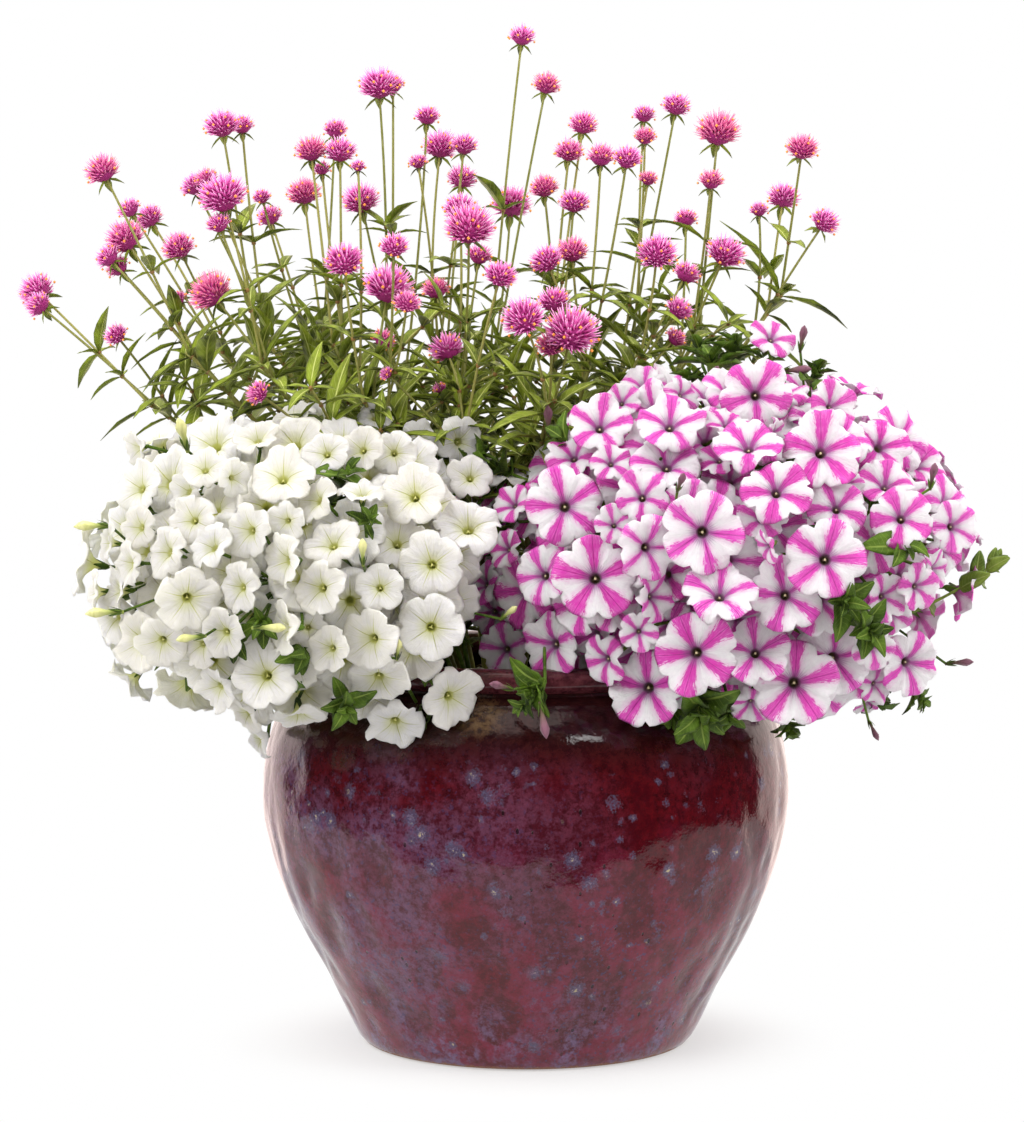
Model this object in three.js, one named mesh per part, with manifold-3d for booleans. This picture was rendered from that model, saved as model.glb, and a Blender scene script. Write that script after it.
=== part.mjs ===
// A planted jar: globe amaranth at the back, a white and a striped trailing petunia in front.
// Millimetres, +Z up. The origin is the centre of the jar's flat foot and the front faces -Y.

import * as THREE from "three";
import { mergeVertices } from "three/addons/utils/BufferGeometryUtils.js";
import Module from "manifold-3d";

const wasm = await Module();
wasm.setup();

// The jar
const JAR_SIDES = 28;
const JAR_RINGS = 8;
const JAR_RINGS_INSIDE = 5;
const SOIL_SIDES = 14;
const FOOT_RADIUS = 124;
const FOOT_CHAMFER = 3;
const BELLY_RADIUS = 198;
const BELLY_HEIGHT = 200;
const NECK_RADIUS = 157;
const NECK_HEIGHT = 276;
const LIP_THICKNESS = 18;
const LIP_REACH = 12;
const LIP_SEAT = 1;
const LIP_CORNERS = [-40, 30, 100, 170];
const JAR_HEIGHT = NECK_HEIGHT + LIP_SEAT + LIP_THICKNESS;
const WALL = 9;
const FLOOR_THICKNESS = 14;
const DRAIN_RADIUS = 9;
const DRAIN_CIRCLE_RADIUS = 62;
const DRAIN_COUNT = 3;
const DRAIN_SIDES = 8;

// The soil and what stands in it
const SOIL_HEIGHT = 268;
const SOIL_CROWN = 5;
const SOIL_EDGE_DROP = 4;
const SOIL_EDGE_GAP = 6;
const SOIL_FLAT_SHARE = 0.55;
const CLEARANCE = 0.35;
const STEM_DEPTH = 16;
const STEM_STEPS = 3;
const STEM_SIDES = 3;
const BASE_BULGE = 4;
const LAST_JOINT = 0.98;
const SHORTEST_EDGE = 0.01;

// The eye that heads and blooms are placed from: points across and down a picture of
// 1024 by 1122 points, seen from in front of the jar and a little above it.
const EYE_DISTANCE = 2600;
const EYE_HEIGHT = 549;
const EYE_AIM_HEIGHT = 361;
const PICTURE_WIDTH = 1024;
const PICTURE_HEIGHT = 1122;
const PICTURE_FOCAL = 3467;
const PICTURE_JAR_AXIS = 526;

// Millimetres of a sphere's width for one point of the picture at the jar's axis
const MM_PER_POINT = 0.75;

// Colours, seen in daylight
const COLOURS = {
  pot: { color: 0x5c1826, roughness: 0.18 },
  soil: { color: 0x3a2a1e, roughness: 0.95 },
  amaranth_spray: { color: 0x5f7a3c, roughness: 0.65 },
  white_petunia_stem: { color: 0xf2f2ea, roughness: 0.6 },
  striped_petunia_stem: { color: 0xdb8fc6, roughness: 0.6 },
  striped_petunia_sprig: { color: 0x5d8a3c, roughness: 0.65 },
};

// The two petunia mounds: half an egg hung over the rim on each side
const WHITE_MOUND = {
  centre: new THREE.Vector3(-160, -80, 350),
  half: new THREE.Vector3(165, 165, 120),
  patch: new THREE.Vector3(-58, -40, SOIL_HEIGHT),
};
const STRIPED_MOUND = {
  centre: new THREE.Vector3(152, -78, 372),
  half: new THREE.Vector3(176, 168, 130),
  patch: new THREE.Vector3(60, -40, SOIL_HEIGHT),
};

// Blooms that show from the front, the foremost first: places across and down the
// picture, radius in points, and the turn to the right and upwards in degrees
const WHITE_BLOOMS = [
  [431, 628, 34, 0, 0], [431, 564, 33, -5, 10], [413, 494, 33, -12, 25], [188, 600, 33, 12, -12],
  [369, 640, 32, -28, -5], [453, 698, 31, 30, -8], [264, 675, 34, -15, 10], [282, 475, 33, -5, 38],
  [319, 588, 28, -25, 5], [468, 524, 35, 0, 45], [331, 541, 30, -20, 42], [247, 531, 28, -35, 0],
  [380, 587, 25, 0, 15], [137, 487, 27, -35, 20], [314, 499, 26, -50, 20], [397, 541, 30, 0, 30],
  [378, 682, 32, -5, -35], [395, 726, 30, 0, -35], [299, 721, 31, 10, -65], [362, 490, 24, 0, 68],
  [164, 551, 28, -50, 15], [161, 643, 27, -10, -20], [282, 561, 29, -55, 0], [210, 545, 25, -40, 30],
  [291, 414, 25, -40, 55], [361, 449, 24, -20, 20], [326, 452, 24, -10, 30], [394, 452, 23, 0, 15],
  [461, 441, 26, 30, 10], [501, 468, 28, 40, 60], [282, 628, 29, -68, 0], [222, 634, 27, -30, -10],
  [329, 649, 24, -30, 0], [470, 476, 24, 0, 30], [204, 467, 24, -10, 40], [421, 438, 20, 20, 25],
  [238, 588, 26, -40, 0], [192, 519, 26, -20, 20], [198, 646, 24, -35, -10], [135, 450, 20, -60, -15],
  [137, 527, 24, -40, 10], [216, 689, 24, -40, -20], [127, 564, 24, -60, 0], [115, 591, 26, -68, 0],
  [244, 717, 22, -50, -30], [256, 436, 24, -20, 50], [235, 478, 20, 40, 0], [308, 628, 20, 0, 0],
  [185, 490, 22, -40, 20], [92, 592, 25, -78, 0], [106, 542, 22, -72, 10], [286, 521, 20, -20, 0],
  [323, 417, 22, 20, 40], [256, 742, 20, -60, -20], [207, 432, 20, -20, 30], [375, 416, 18, 10, 40],
];
const STRIPED_BLOOMS = [
  [703, 533, 42, 0, 0], [565, 506, 39, 0, 8], [595, 578, 42, -3, 8], [795, 683, 43, 0, 5],
  [826, 559, 41, 0, 8], [695, 654, 42, -10, 0], [786, 594, 38, 0, 12], [823, 450, 39, 8, 20],
  [646, 689, 39, -15, 0], [836, 660, 41, 10, -5], [756, 394, 36, 0, 10], [756, 650, 35, 0, 25],
  [549, 645, 34, -40, 0], [720, 590, 37, 0, 45], [777, 489, 35, 0, 30], [600, 424, 32, 0, 35],
  [670, 422, 34, 0, 40], [649, 548, 33, 20, 0], [642, 496, 28, -5, 20], [667, 461, 36, 0, 45],
  [837, 506, 31, 0, 30], [902, 517, 32, 0, 20], [748, 443, 35, -10, 50], [504, 650, 26, -20, 0],
  [602, 661, 27, -45, -10], [876, 543, 30, 25, 0], [955, 526, 28, 25, 10], [911, 664, 33, 25, -5],
  [541, 575, 31, -30, 10], [572, 454, 28, -20, 40], [886, 482, 30, 5, 45], [834, 405, 26, 30, 20],
  [762, 517, 26, 0, 30], [481, 583, 24, -50, 20], [919, 587, 24, 30, 0], [656, 597, 26, 45, 0],
  [611, 461, 22, 0, 35], [727, 422, 22, 10, 50], [718, 457, 22, -20, 40], [511, 503, 22, -40, 30],
  [504, 548, 22, -50, 20], [886, 597, 24, 30, 0], [614, 608, 24, 0, 10], [639, 632, 20, 0, 0],
  [765, 548, 18, -60, -20], [492, 615, 24, -20, -20], [614, 524, 20, 0, 20], [874, 647, 24, 20, 0],
  [751, 706, 22, 0, -40], [895, 615, 22, 30, -10], [869, 706, 17, 30, -50], [877, 685, 20, 30, -10],
  [644, 384, 24, 0, 40], [684, 394, 20, 40, 20], [773, 336, 24, 20, 40], [621, 401, 20, -10, 30],
  [937, 569, 19, 50, 0], [849, 482, 18, 20, 20], [777, 433, 16, 60, 0],
];

// Sprays of the amaranth: the fork across and down the picture, the depth behind the
// jar's axis, and the heads above it across, down and wide, in points
const AMARANTH_SPRAYS = [
  { fork: [146, 402], depth: 56, heads: [[38, 292, 38], [40, 306, 28], [117, 336, 24]] },
  { fork: [186, 352], depth: -4, heads: [[103, 172, 35], [126, 240, 40], [109, 258, 26], [119, 268, 25]] },
  { fork: [212, 344], depth: 140, heads: [[130, 210, 25], [150, 219, 30], [179, 249, 35], [178, 300, 20]] },
  { fork: [250, 318], depth: 84, heads: [[222, 127, 36], [242, 127, 25], [195, 187, 28], [207, 180, 25]] },
  { fork: [258, 362], depth: -40, heads: [[223, 198, 47], [219, 225, 24], [212, 294, 42]] },
  { fork: [298, 326], depth: 190, heads: [[262, 198, 20], [270, 218, 28], [335, 131, 26], [304, 195, 36]] },
  { fork: [330, 340], depth: 10, heads: [[311, 152, 32], [340, 153, 32], [322, 170, 18], [358, 167, 15]] },
  { fork: [384, 338], depth: 118, heads: [[379, 87, 42], [393, 86, 24], [361, 202, 40], [427, 118, 26]] },
  { fork: [362, 398], depth: -70, heads: [[344, 263, 37], [388, 289, 48], [407, 304, 26], [394, 248, 28]] },
  { fork: [316, 440], depth: -66, heads: [[259, 394, 24], [383, 341, 24]] },
  { fork: [432, 344], depth: 176, heads: [[440, 148, 38], [464, 147, 28], [418, 163, 20], [462, 180, 31]] },
  { fork: [456, 382], depth: 8, heads: [[460, 210, 34], [469, 229, 49], [479, 257, 26], [436, 291, 28]] },
  { fork: [490, 352], depth: 226, heads: [[522, 38, 29], [511, 206, 43], [546, 86, 30]] },
  { fork: [462, 424], depth: -58, heads: [[447, 350, 34], [500, 277, 31], [440, 389, 14], [387, 374, 14]] },
  { fork: [556, 366], depth: 110, heads: [[544, 189, 30], [574, 204, 31], [569, 153, 30], [583, 126, 30]] },
  { fork: [548, 410], depth: -62, heads: [[524, 320, 41], [554, 303, 32], [571, 334, 52], [551, 346, 30]] },
  { fork: [590, 366], depth: 14, heads: [[547, 262, 33], [572, 253, 32], [601, 158, 29], [627, 160, 29]] },
  { fork: [642, 320], depth: 196, heads: [[644, 116, 24], [645, 138, 24], [676, 107, 31], [648, 180, 20]] },
  { fork: [642, 352], depth: 22, heads: [[657, 255, 39], [686, 275, 28], [678, 311, 28], [675, 339, 22]] },
  { fork: [702, 330], depth: 104, heads: [[718, 133, 45], [711, 182, 26], [686, 220, 24], [725, 255, 40]] },
  { fork: [785, 290], depth: 148, heads: [[802, 150, 33], [783, 199, 34], [759, 211, 20], [824, 223, 31]] },
];

// How the amaranth grows
const AMARANTH_ROOT_CENTRE = new THREE.Vector2(-18, 66);
const AMARANTH_ROOT_SPREAD = new THREE.Vector2(0.24, 0.288);
const AMARANTH_ARCH = 46;
const AMARANTH_ARCH_AT = 0.45;
const AMARANTH_STEM_RADIUS = 2.2;
const AMARANTH_STALK_RADIUS = 1.05;
const AMARANTH_LEAF_PAIRS = [0.42, 0.68, 0.92];
const AMARANTH_LEAF_LENGTH = 62;
const AMARANTH_LEAF_WIDTH = 12.5;
const AMARANTH_LEAF_DROOP = 0.26;
const AMARANTH_LEAF_TURNS = [0, 0.4, -0.4, 0.8, -0.8, 1.2, -1.2, 1.6];
const HEAD_SPACING = 0.06;
const HEAD_DEPTH_SPREAD = 90;
const HEAD_CORE = 0.66;
const BIG_HEAD = 14.5;
const SMALL_HEAD = 9.5;

// How the petunias grow
const PETUNIA_STEM_RADIUS = 2;
const PEDICEL_RADIUS = 1.1;
const TUBE_LENGTH = 0.8;
const TUBE_FLARE = 1.2;
const THROAT_DEPTH = 0.5;
const MOUTH_DEPTH = 0.14;
const MOUTH_RADIUS = 0.24;
const LOBES = 5;
const NOTCH = 0.86;
const LOBE_WAVE = 0.16;
const BLOOM_TWIST = 1.2;
const BIG_BLOOM = 24;
const PETUNIA_LEAF_LENGTH = 40;
const PETUNIA_LEAF_WIDTH = 22;
const LEAVES_ON_A_STEM = 2;
const LEAF_KEEL = 0.12;
const LEAF_THICKNESS = 1.2;
const LEAF_WIDEST = 0.42;
const LEAF_ARCH = 0.05;
const PETUNIA_LEAF_DROOP = 0.2;
const LEAFY_FROM = 0.62;
const STEM_REACH = 0.66;
const ROOT_SHARE = 0.36;
const RIM_RISE = 76;
const RIM_SHARE = 0.3;
const STEM_TRIES = [
  [0, 0], [14, 0], [0, 9], [0, -9], [14, 9], [14, -9], [28, 0], [28, 14], [28, -14], [44, 0],
];
const HIDDEN_BLOOM_RADIUS = 22;
const HIDDEN_BLOOM_SPACING = 50;
const HIDDEN_BLOOM_TRIES = 90;
const HIDDEN_BLOOM_SIZES = 0.25;
const WHITE_HIDDEN_INDEX = 100;
const STRIPED_HIDDEN_INDEX = 300;
const NEAREST_STEMS = 3;
const CARRYING_PLACES = [0.5, 0.6, 0.7, 0.8, 0.9, LAST_JOINT];

// How blooms are held clear of each other and of the jar
const FUNNEL_SLOPE = 0.55;
const BLOOM_GAP = 2;
const BLOOM_STEP = 3;
const BLOOM_FURTHEST_BACK = 75;
const BLOOM_WALL_GAP = 26;
const BLOOM_RIM_GAP = 8;
const BLOOM_SHIFTS = [0, 4, -4, 8, -8, 13, -13, 20];
const HEAD_SHIFTS = [0, 9, -9, 18, -18, 27, -27, 40, -40, 55];

// Stems of each mound: degrees round the jar from +X, and degrees up from the mound's middle
const WHITE_STEMS = [
  [150, 50], [230, 52], [315, 48], [128, 8], [165, 12], [200, 5], [232, 8], [262, 5], [296, 8],
  [182, -28], [218, -30], [250, -32], [285, -30],
];
const STRIPED_STEMS = [
  [30, 52], [310, 55], [225, 50], [52, 10], [15, 10], [340, 6], [308, 8], [278, 5], [244, 8],
  [358, -28], [322, -32], [290, -32], [255, -30],
];

// The bare shoot on the right: its root beside the striped stems' middle, and its tip
const SPRIG_ROOT = [46, 12];
const SPRIG_TIP = [996, 562];
const SPRIG_DEPTH = -66;
const SPRIG_ARCH = 12;
const SPRIG_ARCH_AT = 0.38;
const SPRIG_LEAVES = [0.82, 0.88, 0.93, 0.97];
const SPRIG_LEAF_LENGTH = 18;
const SPRIG_LEAF_WIDTH = 9;
const SPRIG_LEAF_DROOP = 0.1;

const UP = new THREE.Vector3(0, 0, 1);
const EYE = new THREE.Vector3(
  ((PICTURE_WIDTH / 2 - PICTURE_JAR_AXIS) * EYE_DISTANCE) / PICTURE_FOCAL,
  -EYE_DISTANCE,
  EYE_HEIGHT,
);

// The same number between 0 and 1 for the same pair, with no order to keep
function chance(index, draw) {
  const wave = Math.sin(index * 12.9898 + draw * 78.233) * 43758.5453;
  return wave - Math.floor(wave);
}

// Direction of the line of sight through a place in the picture
function sightLine(px, py) {
  const pitch = Math.atan((EYE_HEIGHT - EYE_AIM_HEIGHT) / EYE_DISTANCE);
  const across = (px - PICTURE_WIDTH / 2) / PICTURE_FOCAL;
  const down = (py - PICTURE_HEIGHT / 2) / PICTURE_FOCAL;
  const ahead = Math.cos(pitch) - down * Math.sin(pitch);
  const drop = Math.sin(pitch) + down * Math.cos(pitch);
  return new THREE.Vector3(across / ahead, 1, -drop / ahead);
}

// The point of the line of sight that lies this far behind the jar's axis
function seenAt(px, py, depth) {
  return EYE.clone().addScaledVector(sightLine(px, py), EYE_DISTANCE + depth);
}

// The jar's outer radius at a height, over a smooth curve through its foot, belly and neck
const JAR_CURVE = new THREE.SplineCurve([
  new THREE.Vector2(FOOT_RADIUS, 0),
  new THREE.Vector2(151, 52),
  new THREE.Vector2(179, 106),
  new THREE.Vector2(195, 157),
  new THREE.Vector2(BELLY_RADIUS, BELLY_HEIGHT),
  new THREE.Vector2(189, 242),
  new THREE.Vector2(171, 266),
  new THREE.Vector2(NECK_RADIUS, NECK_HEIGHT),
]);

function jarRadiusAt(height) {
  const points = JAR_CURVE.getPoints(60);
  if (height >= NECK_HEIGHT) {
    return NECK_RADIUS + LIP_THICKNESS / 2;
  }
  const above = Math.max(1, points.findIndex((point) => point.y >= height));
  const low = points[above - 1];
  const high = points[above];
  return low.x + ((high.x - low.x) * (height - low.y)) / (high.y - low.y);
}

// Closed meshes as solids and back
function asSolid(geometry) {
  const bare = geometry.clone();
  bare.deleteAttribute("normal");
  bare.deleteAttribute("uv");
  const merged = mergeVertices(bare, 1e-4);
  return new wasm.Manifold(
    new wasm.Mesh({
      numProp: 3,
      vertProperties: new Float32Array(merged.attributes.position.array),
      triVerts: new Uint32Array(merged.index.array),
    }),
  );
}

// The largest shell of a fused solid: hollows that the fusing sealed are filled by it
function outerShell(mesh) {
  const owner = Array.from({ length: mesh.vertProperties.length / 3 }, (_, vertex) => vertex);
  const find = (vertex) => {
    let root = vertex;
    while (owner[root] !== root) {
      owner[root] = owner[owner[root]];
      root = owner[root];
    }
    return root;
  };
  for (let corner = 0; corner < mesh.triVerts.length; corner += 3) {
    owner[find(mesh.triVerts[corner + 1])] = find(mesh.triVerts[corner]);
    owner[find(mesh.triVerts[corner + 2])] = find(mesh.triVerts[corner]);
  }
  const shells = new Map();
  for (let corner = 0; corner < mesh.triVerts.length; corner += 3) {
    const root = find(mesh.triVerts[corner]);
    const shell = shells.get(root) ?? [];
    shell.push(...mesh.triVerts.slice(corner, corner + 3));
    shells.set(root, shell);
  }
  return [...shells.values()].sort((one, other) => other.length - one.length)[0];
}

function asGeometry(solid) {
  const mesh = solid.getMesh();
  const geometry = new THREE.BufferGeometry();
  geometry.setAttribute("position", new THREE.BufferAttribute(mesh.vertProperties, 3));
  geometry.setIndex(outerShell(mesh));
  return geometry;
}

function solidOfTriangles(triangles) {
  const values = triangles.flat().flatMap((point) => [point.x, point.y, point.z]);
  const geometry = new THREE.BufferGeometry();
  geometry.setAttribute("position", new THREE.Float32BufferAttribute(values, 3));
  return asSolid(geometry);
}

function meets(one, other) {
  return !one.intersect(other).isEmpty();
}

// A ring of points round a centre, counted anticlockwise seen against the direction
function ring(centre, direction, radii, reference, twist = 0) {
  const out = reference.clone().addScaledVector(direction, -reference.dot(direction)).normalize();
  const side = direction.clone().cross(out);
  return radii.map((radius, index) => {
    const angle = twist + (index * 2 * Math.PI) / radii.length;
    return centre
      .clone()
      .addScaledVector(out, radius * Math.cos(angle))
      .addScaledVector(side, radius * Math.sin(angle));
  });
}

// Triangles between two rings of any counts of points, one of which may be a single point
function band(from, to) {
  const triangles = [];
  const stepsFrom = from.length > 1 ? from.length : 0;
  const stepsTo = to.length > 1 ? to.length : 0;
  let i = 0;
  let j = 0;
  while (i < stepsFrom || j < stepsTo) {
    const a = from[i % from.length];
    const b = to[j % to.length];
    const fromNext = i < stepsFrom && (j >= stepsTo || (i + 1) / stepsFrom <= (j + 1) / stepsTo);
    if (fromNext) {
      i += 1;
      triangles.push([a, from[i % from.length], b]);
    } else {
      j += 1;
      triangles.push([a, to[j % to.length], b]);
    }
  }
  return triangles;
}

// A closed skin over rings that follow each other, flat at both ends
function loft(rings) {
  const triangles = [];
  const first = rings[0];
  const last = rings[rings.length - 1];
  for (let i = 1; i + 1 < first.length; i += 1) {
    triangles.push([first[0], first[i + 1], first[i]]);
  }
  for (let i = 1; i < rings.length; i += 1) {
    triangles.push(...band(rings[i - 1], rings[i]));
  }
  for (let i = 1; i + 1 < last.length; i += 1) {
    triangles.push([last[0], last[i], last[i + 1]]);
  }
  return solidOfTriangles(triangles);
}

// A place on the straight runs that a stem's rings follow along its curve
function onStem(curve, at) {
  const run = Math.min(STEM_STEPS - 1, Math.floor(at * STEM_STEPS));
  const from = curve.getPoint(run / STEM_STEPS);
  const to = curve.getPoint((run + 1) / STEM_STEPS);
  const along = to.clone().sub(from).normalize();
  return { point: from.lerp(to, at * STEM_STEPS - run), along };
}

// A leaf from its root to its tip: a blade with raised edges and a keel for its rib
function leaf(root, direction, length, width, droop) {
  const flat = direction.clone().cross(UP);
  const side = (flat.length() > 0.05 ? flat : new THREE.Vector3(1, 0, 0)).normalize();
  const face = side.clone().cross(direction).normalize();
  const middle = root.clone().addScaledVector(direction, length * LEAF_WIDEST);
  middle.addScaledVector(face, length * LEAF_ARCH);
  const tip = root.clone().addScaledVector(direction, length).addScaledVector(face, -droop * length);
  const section = [
    middle.clone().addScaledVector(side, width / 2),
    middle.clone().addScaledVector(face, -Math.max(LEAF_THICKNESS, width * LEAF_KEEL)),
    middle.clone().addScaledVector(side, -width / 2),
  ];
  return loft([[root], section, [tip]]);
}

// A petunia bloom with its stalk: five lobes round a throat, a funnel behind them
function bloomSolid(flower, foot) {
  const { centre, facing, radius, twist } = flower;
  const neck = centre.clone().addScaledVector(facing, -TUBE_LENGTH * radius);
  const stalk = neck.clone().sub(foot).normalize();
  const bend = stalk.clone().cross(facing);
  const reference = bend.length() > 0.05 ? bend.normalize() : ring(neck, facing, [1], UP)[0].sub(neck);
  const lobes = Array.from({ length: 2 * LOBES }, (_, index) => radius * (index % 2 ? NOTCH : 1));
  const throat = centre.clone().addScaledVector(facing, -MOUTH_DEPTH * radius);
  const rim = ring(centre, facing, lobes, reference, twist);
  rim.forEach((point, index) => {
    const wave = (chance(flower.index, 20 + index) - 0.5) * LOBE_WAVE * radius;
    point.addScaledVector(facing, index % 2 ? 0 : wave);
  });
  const start = foot.clone().addScaledVector(stalk, BASE_BULGE);
  const mouth = ring(throat, facing, Array(LOBES).fill(MOUTH_RADIUS * radius), reference, twist);
  const bottom = [centre.clone().addScaledVector(facing, -THROAT_DEPTH * radius)];
  return loft([
    [foot],
    ring(start, stalk, Array(STEM_SIDES).fill(PEDICEL_RADIUS), reference),
    ring(neck, facing, Array(STEM_SIDES).fill(PEDICEL_RADIUS + TUBE_FLARE), reference),
    rim,
    ...(radius > BIG_BLOOM ? [mouth, bottom] : [bottom]),
  ]);
}

// An amaranth head on its stalk: a ball with a spike raised on each of its faces but the
// one that the stalk runs into
function headOnStalk(from, centre, radius, index) {
  const along = centre.clone().sub(from).normalize();
  const ball =
    radius > BIG_HEAD
      ? new THREE.IcosahedronGeometry(radius * HEAD_CORE, 0)
      : new THREE.SphereGeometry(radius * HEAD_CORE, radius > SMALL_HEAD ? 5 : 4, 2).toNonIndexed();
  const places = ball.attributes.position;
  const faces = [];
  for (let corner = 0; corner < places.count; corner += 3) {
    faces.push([0, 1, 2].map((step) => new THREE.Vector3().fromBufferAttribute(places, corner + step)));
  }
  const middleOf = (face) => face[0].clone().add(face[1]).add(face[2]).normalize();
  const turn = new THREE.Quaternion().setFromUnitVectors(middleOf(faces[0]), along.clone().negate());
  turn.premultiply(new THREE.Quaternion().setFromAxisAngle(along, chance(index, 3) * Math.PI));
  faces.forEach((face) => face.forEach((point) => point.applyQuaternion(turn).add(centre)));
  const [a, b, c] = faces[0];
  const mouth = [a, c, b];
  const reference = a.clone().sub(centre);
  const section = Array(STEM_SIDES).fill(AMARANTH_STALK_RADIUS);
  const low = ring(from.clone().addScaledVector(along, BASE_BULGE), along, section, reference);
  const high = ring(centre.clone().addScaledVector(along, -radius), along, section, reference);
  const triangles = [...band([from], low), ...band(low, high), ...band(high, mouth)];
  for (const face of faces.slice(1)) {
    const outward = face[0].clone().add(face[1]).add(face[2]).divideScalar(3).sub(centre).normalize();
    const spike = centre.clone().addScaledVector(outward, radius);
    triangles.push([face[0], face[1], spike], [face[1], face[2], spike], [face[2], face[0], spike]);
  }
  return solidOfTriangles(triangles);
}

// Where a line of sight first meets a mound, or passes it closest
function depthOnMound(px, py, mound) {
  const line = sightLine(px, py).divide(mound.half);
  const from = EYE.clone().sub(mound.centre).divide(mound.half);
  const a = line.dot(line);
  const b = from.dot(line);
  const c = from.dot(from) - 1;
  const inside = Math.max(0, b * b - a * c);
  return (-b - Math.sqrt(inside)) / a - EYE_DISTANCE;
}

// The direction of a bloom turned to the right and upwards from facing the eye
function facingOf(turn, lift) {
  const yaw = THREE.MathUtils.degToRad(turn);
  const pitch = THREE.MathUtils.degToRad(lift);
  return new THREE.Vector3(
    Math.sin(yaw) * Math.cos(pitch),
    -Math.cos(yaw) * Math.cos(pitch),
    Math.sin(pitch),
  );
}

// Points of a bloom that must stay on one side of another bloom's mouth
function bloomProbes({ centre, facing, radius }) {
  const rim = ring(centre, facing, Array(12).fill(radius), new THREE.Vector3(0.3, 0.2, 1));
  const axis = [0, TUBE_LENGTH / 2, TUBE_LENGTH];
  return [...rim, ...axis.map((share) => centre.clone().addScaledVector(facing, -share * radius))];
}

function cuts(probes, other) {
  let before = false;
  let behind = false;
  for (const probe of probes) {
    const offset = probe.clone().sub(other.centre);
    const height = offset.dot(other.facing);
    const across = offset.addScaledVector(other.facing, -height).length();
    if (across < other.radius) {
      const funnel = -FUNNEL_SLOPE * (other.radius - across);
      before = before || height > funnel - BLOOM_GAP;
      behind = behind || height < BLOOM_GAP;
    }
  }
  return before && behind;
}

function crosses(one, other) {
  if (one.centre.distanceTo(other.centre) > one.radius + other.radius + 2 * BLOOM_GAP) {
    return false;
  }
  return cuts(bloomProbes(one), other) || cuts(bloomProbes(other), one);
}

function isInTheWall({ x, y, z }) {
  const beside = Math.hypot(x, y) < jarRadiusAt(z) + BLOOM_WALL_GAP;
  return beside && z < JAR_HEIGHT + BLOOM_RIM_GAP;
}

// Blooms seen from the front: each on the mound, then back along the sight until it is clear
function frontBlooms(list, mound, taken) {
  return list.map(([px, py, width, turn, lift], index) => {
    let depth = depthOnMound(px, py, mound);
    const flower = {
      index,
      facing: facingOf(turn, lift),
      twist: (chance(index, 1) - 0.5) * BLOOM_TWIST,
      radius: width * MM_PER_POINT * (1 + depth / EYE_DISTANCE),
      centre: seenAt(px, py, depth),
    };
    while (isInTheWall(flower.centre)) {
      depth -= BLOOM_STEP;
      flower.centre = seenAt(px, py, depth);
    }
    const furthest = depth + BLOOM_FURTHEST_BACK;
    while (depth < furthest && taken.some((other) => crosses(flower, other))) {
      depth += BLOOM_STEP;
      flower.centre = seenAt(px, py, depth);
    }
    if (depth >= furthest) {
      flower.centre = seenAt(px, py, furthest - BLOOM_FURTHEST_BACK + BLOOM_STEP);
    }
    taken.push(flower);
    return flower;
  });
}

// Blooms on the far side of a mound, spread evenly over it and clear of the others
function backBlooms(mound, taken, firstIndex, keep) {
  const golden = Math.PI * (3 - Math.sqrt(5));
  const found = [];
  for (let index = 0; index < HIDDEN_BLOOM_TRIES; index += 1) {
    const height = 1 - (2 * (index + 0.5)) / HIDDEN_BLOOM_TRIES;
    const angle = index * golden;
    const out = new THREE.Vector3(
      Math.cos(angle) * Math.sqrt(1 - height * height),
      Math.sin(angle) * Math.sqrt(1 - height * height),
      height,
    );
    const centre = out.clone().multiply(mound.half).add(mound.centre);
    const facing = out.clone().divide(mound.half).normalize();
    const flower = {
      index: firstIndex + index,
      facing,
      twist: (chance(index, 2) - 0.5) * BLOOM_TWIST,
      radius: HIDDEN_BLOOM_RADIUS * (0.9 + HIDDEN_BLOOM_SIZES * chance(index, 5)),
      centre,
    };
    const near = taken.some((other) => other.centre.distanceTo(centre) < HIDDEN_BLOOM_SPACING);
    if (keep(centre, facing) && !near && !taken.some((other) => crosses(flower, other))) {
      taken.push(flower);
      found.push(flower);
    }
  }
  return found;
}

// The stems of a mound: out of the soil, over the rim and into the mound
function moundStems(list, mound) {
  return list.map(([round, rise]) => {
    const angle = THREE.MathUtils.degToRad(round);
    const lift = THREE.MathUtils.degToRad(rise);
    const out = new THREE.Vector3(
      Math.cos(angle) * Math.cos(lift),
      Math.sin(angle) * Math.cos(lift),
      Math.sin(lift),
    );
    const tip = out.clone().multiply(mound.half).multiplyScalar(STEM_REACH).add(mound.centre);
    const spread = tip.clone().sub(mound.centre).multiplyScalar(ROOT_SHARE);
    const root = mound.patch.clone().add(new THREE.Vector3(spread.x, spread.y, 0));
    return { root, tip };
  });
}

// A stem's curve from its root over the rim to its tip, lifted or shifted aside a little
function overTheRim({ root, tip }, lift, aside) {
  const over = root.clone().lerp(tip, RIM_SHARE);
  over.z = Math.max(JAR_HEIGHT + RIM_RISE, tip.z) + lift;
  over.x -= Math.sign(tip.y - root.y) * aside;
  over.y += Math.sign(tip.x - root.x) * aside;
  return new THREE.QuadraticBezierCurve3(root, over, tip);
}

function nearestOnStems(stems, place) {
  const nearest = stems.map(({ curve }, index) => {
    const points = CARRYING_PLACES.map((at) => onStem(curve, at).point);
    points.sort((one, other) => one.distanceTo(place) - other.distanceTo(place));
    return { index, point: points[0] };
  });
  return nearest.sort((one, other) => one.point.distanceTo(place) - other.point.distanceTo(place));
}

// Every node's fused solid, and all the pieces that a new piece is held clear of
const nodes = new Map();
const grown = [];

function boxesMeet(one, other) {
  const a = one.boundingBox();
  const b = other.boundingBox();
  return [0, 1, 2].every((axis) => a.min[axis] < b.max[axis] && b.min[axis] < a.max[axis]);
}

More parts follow.
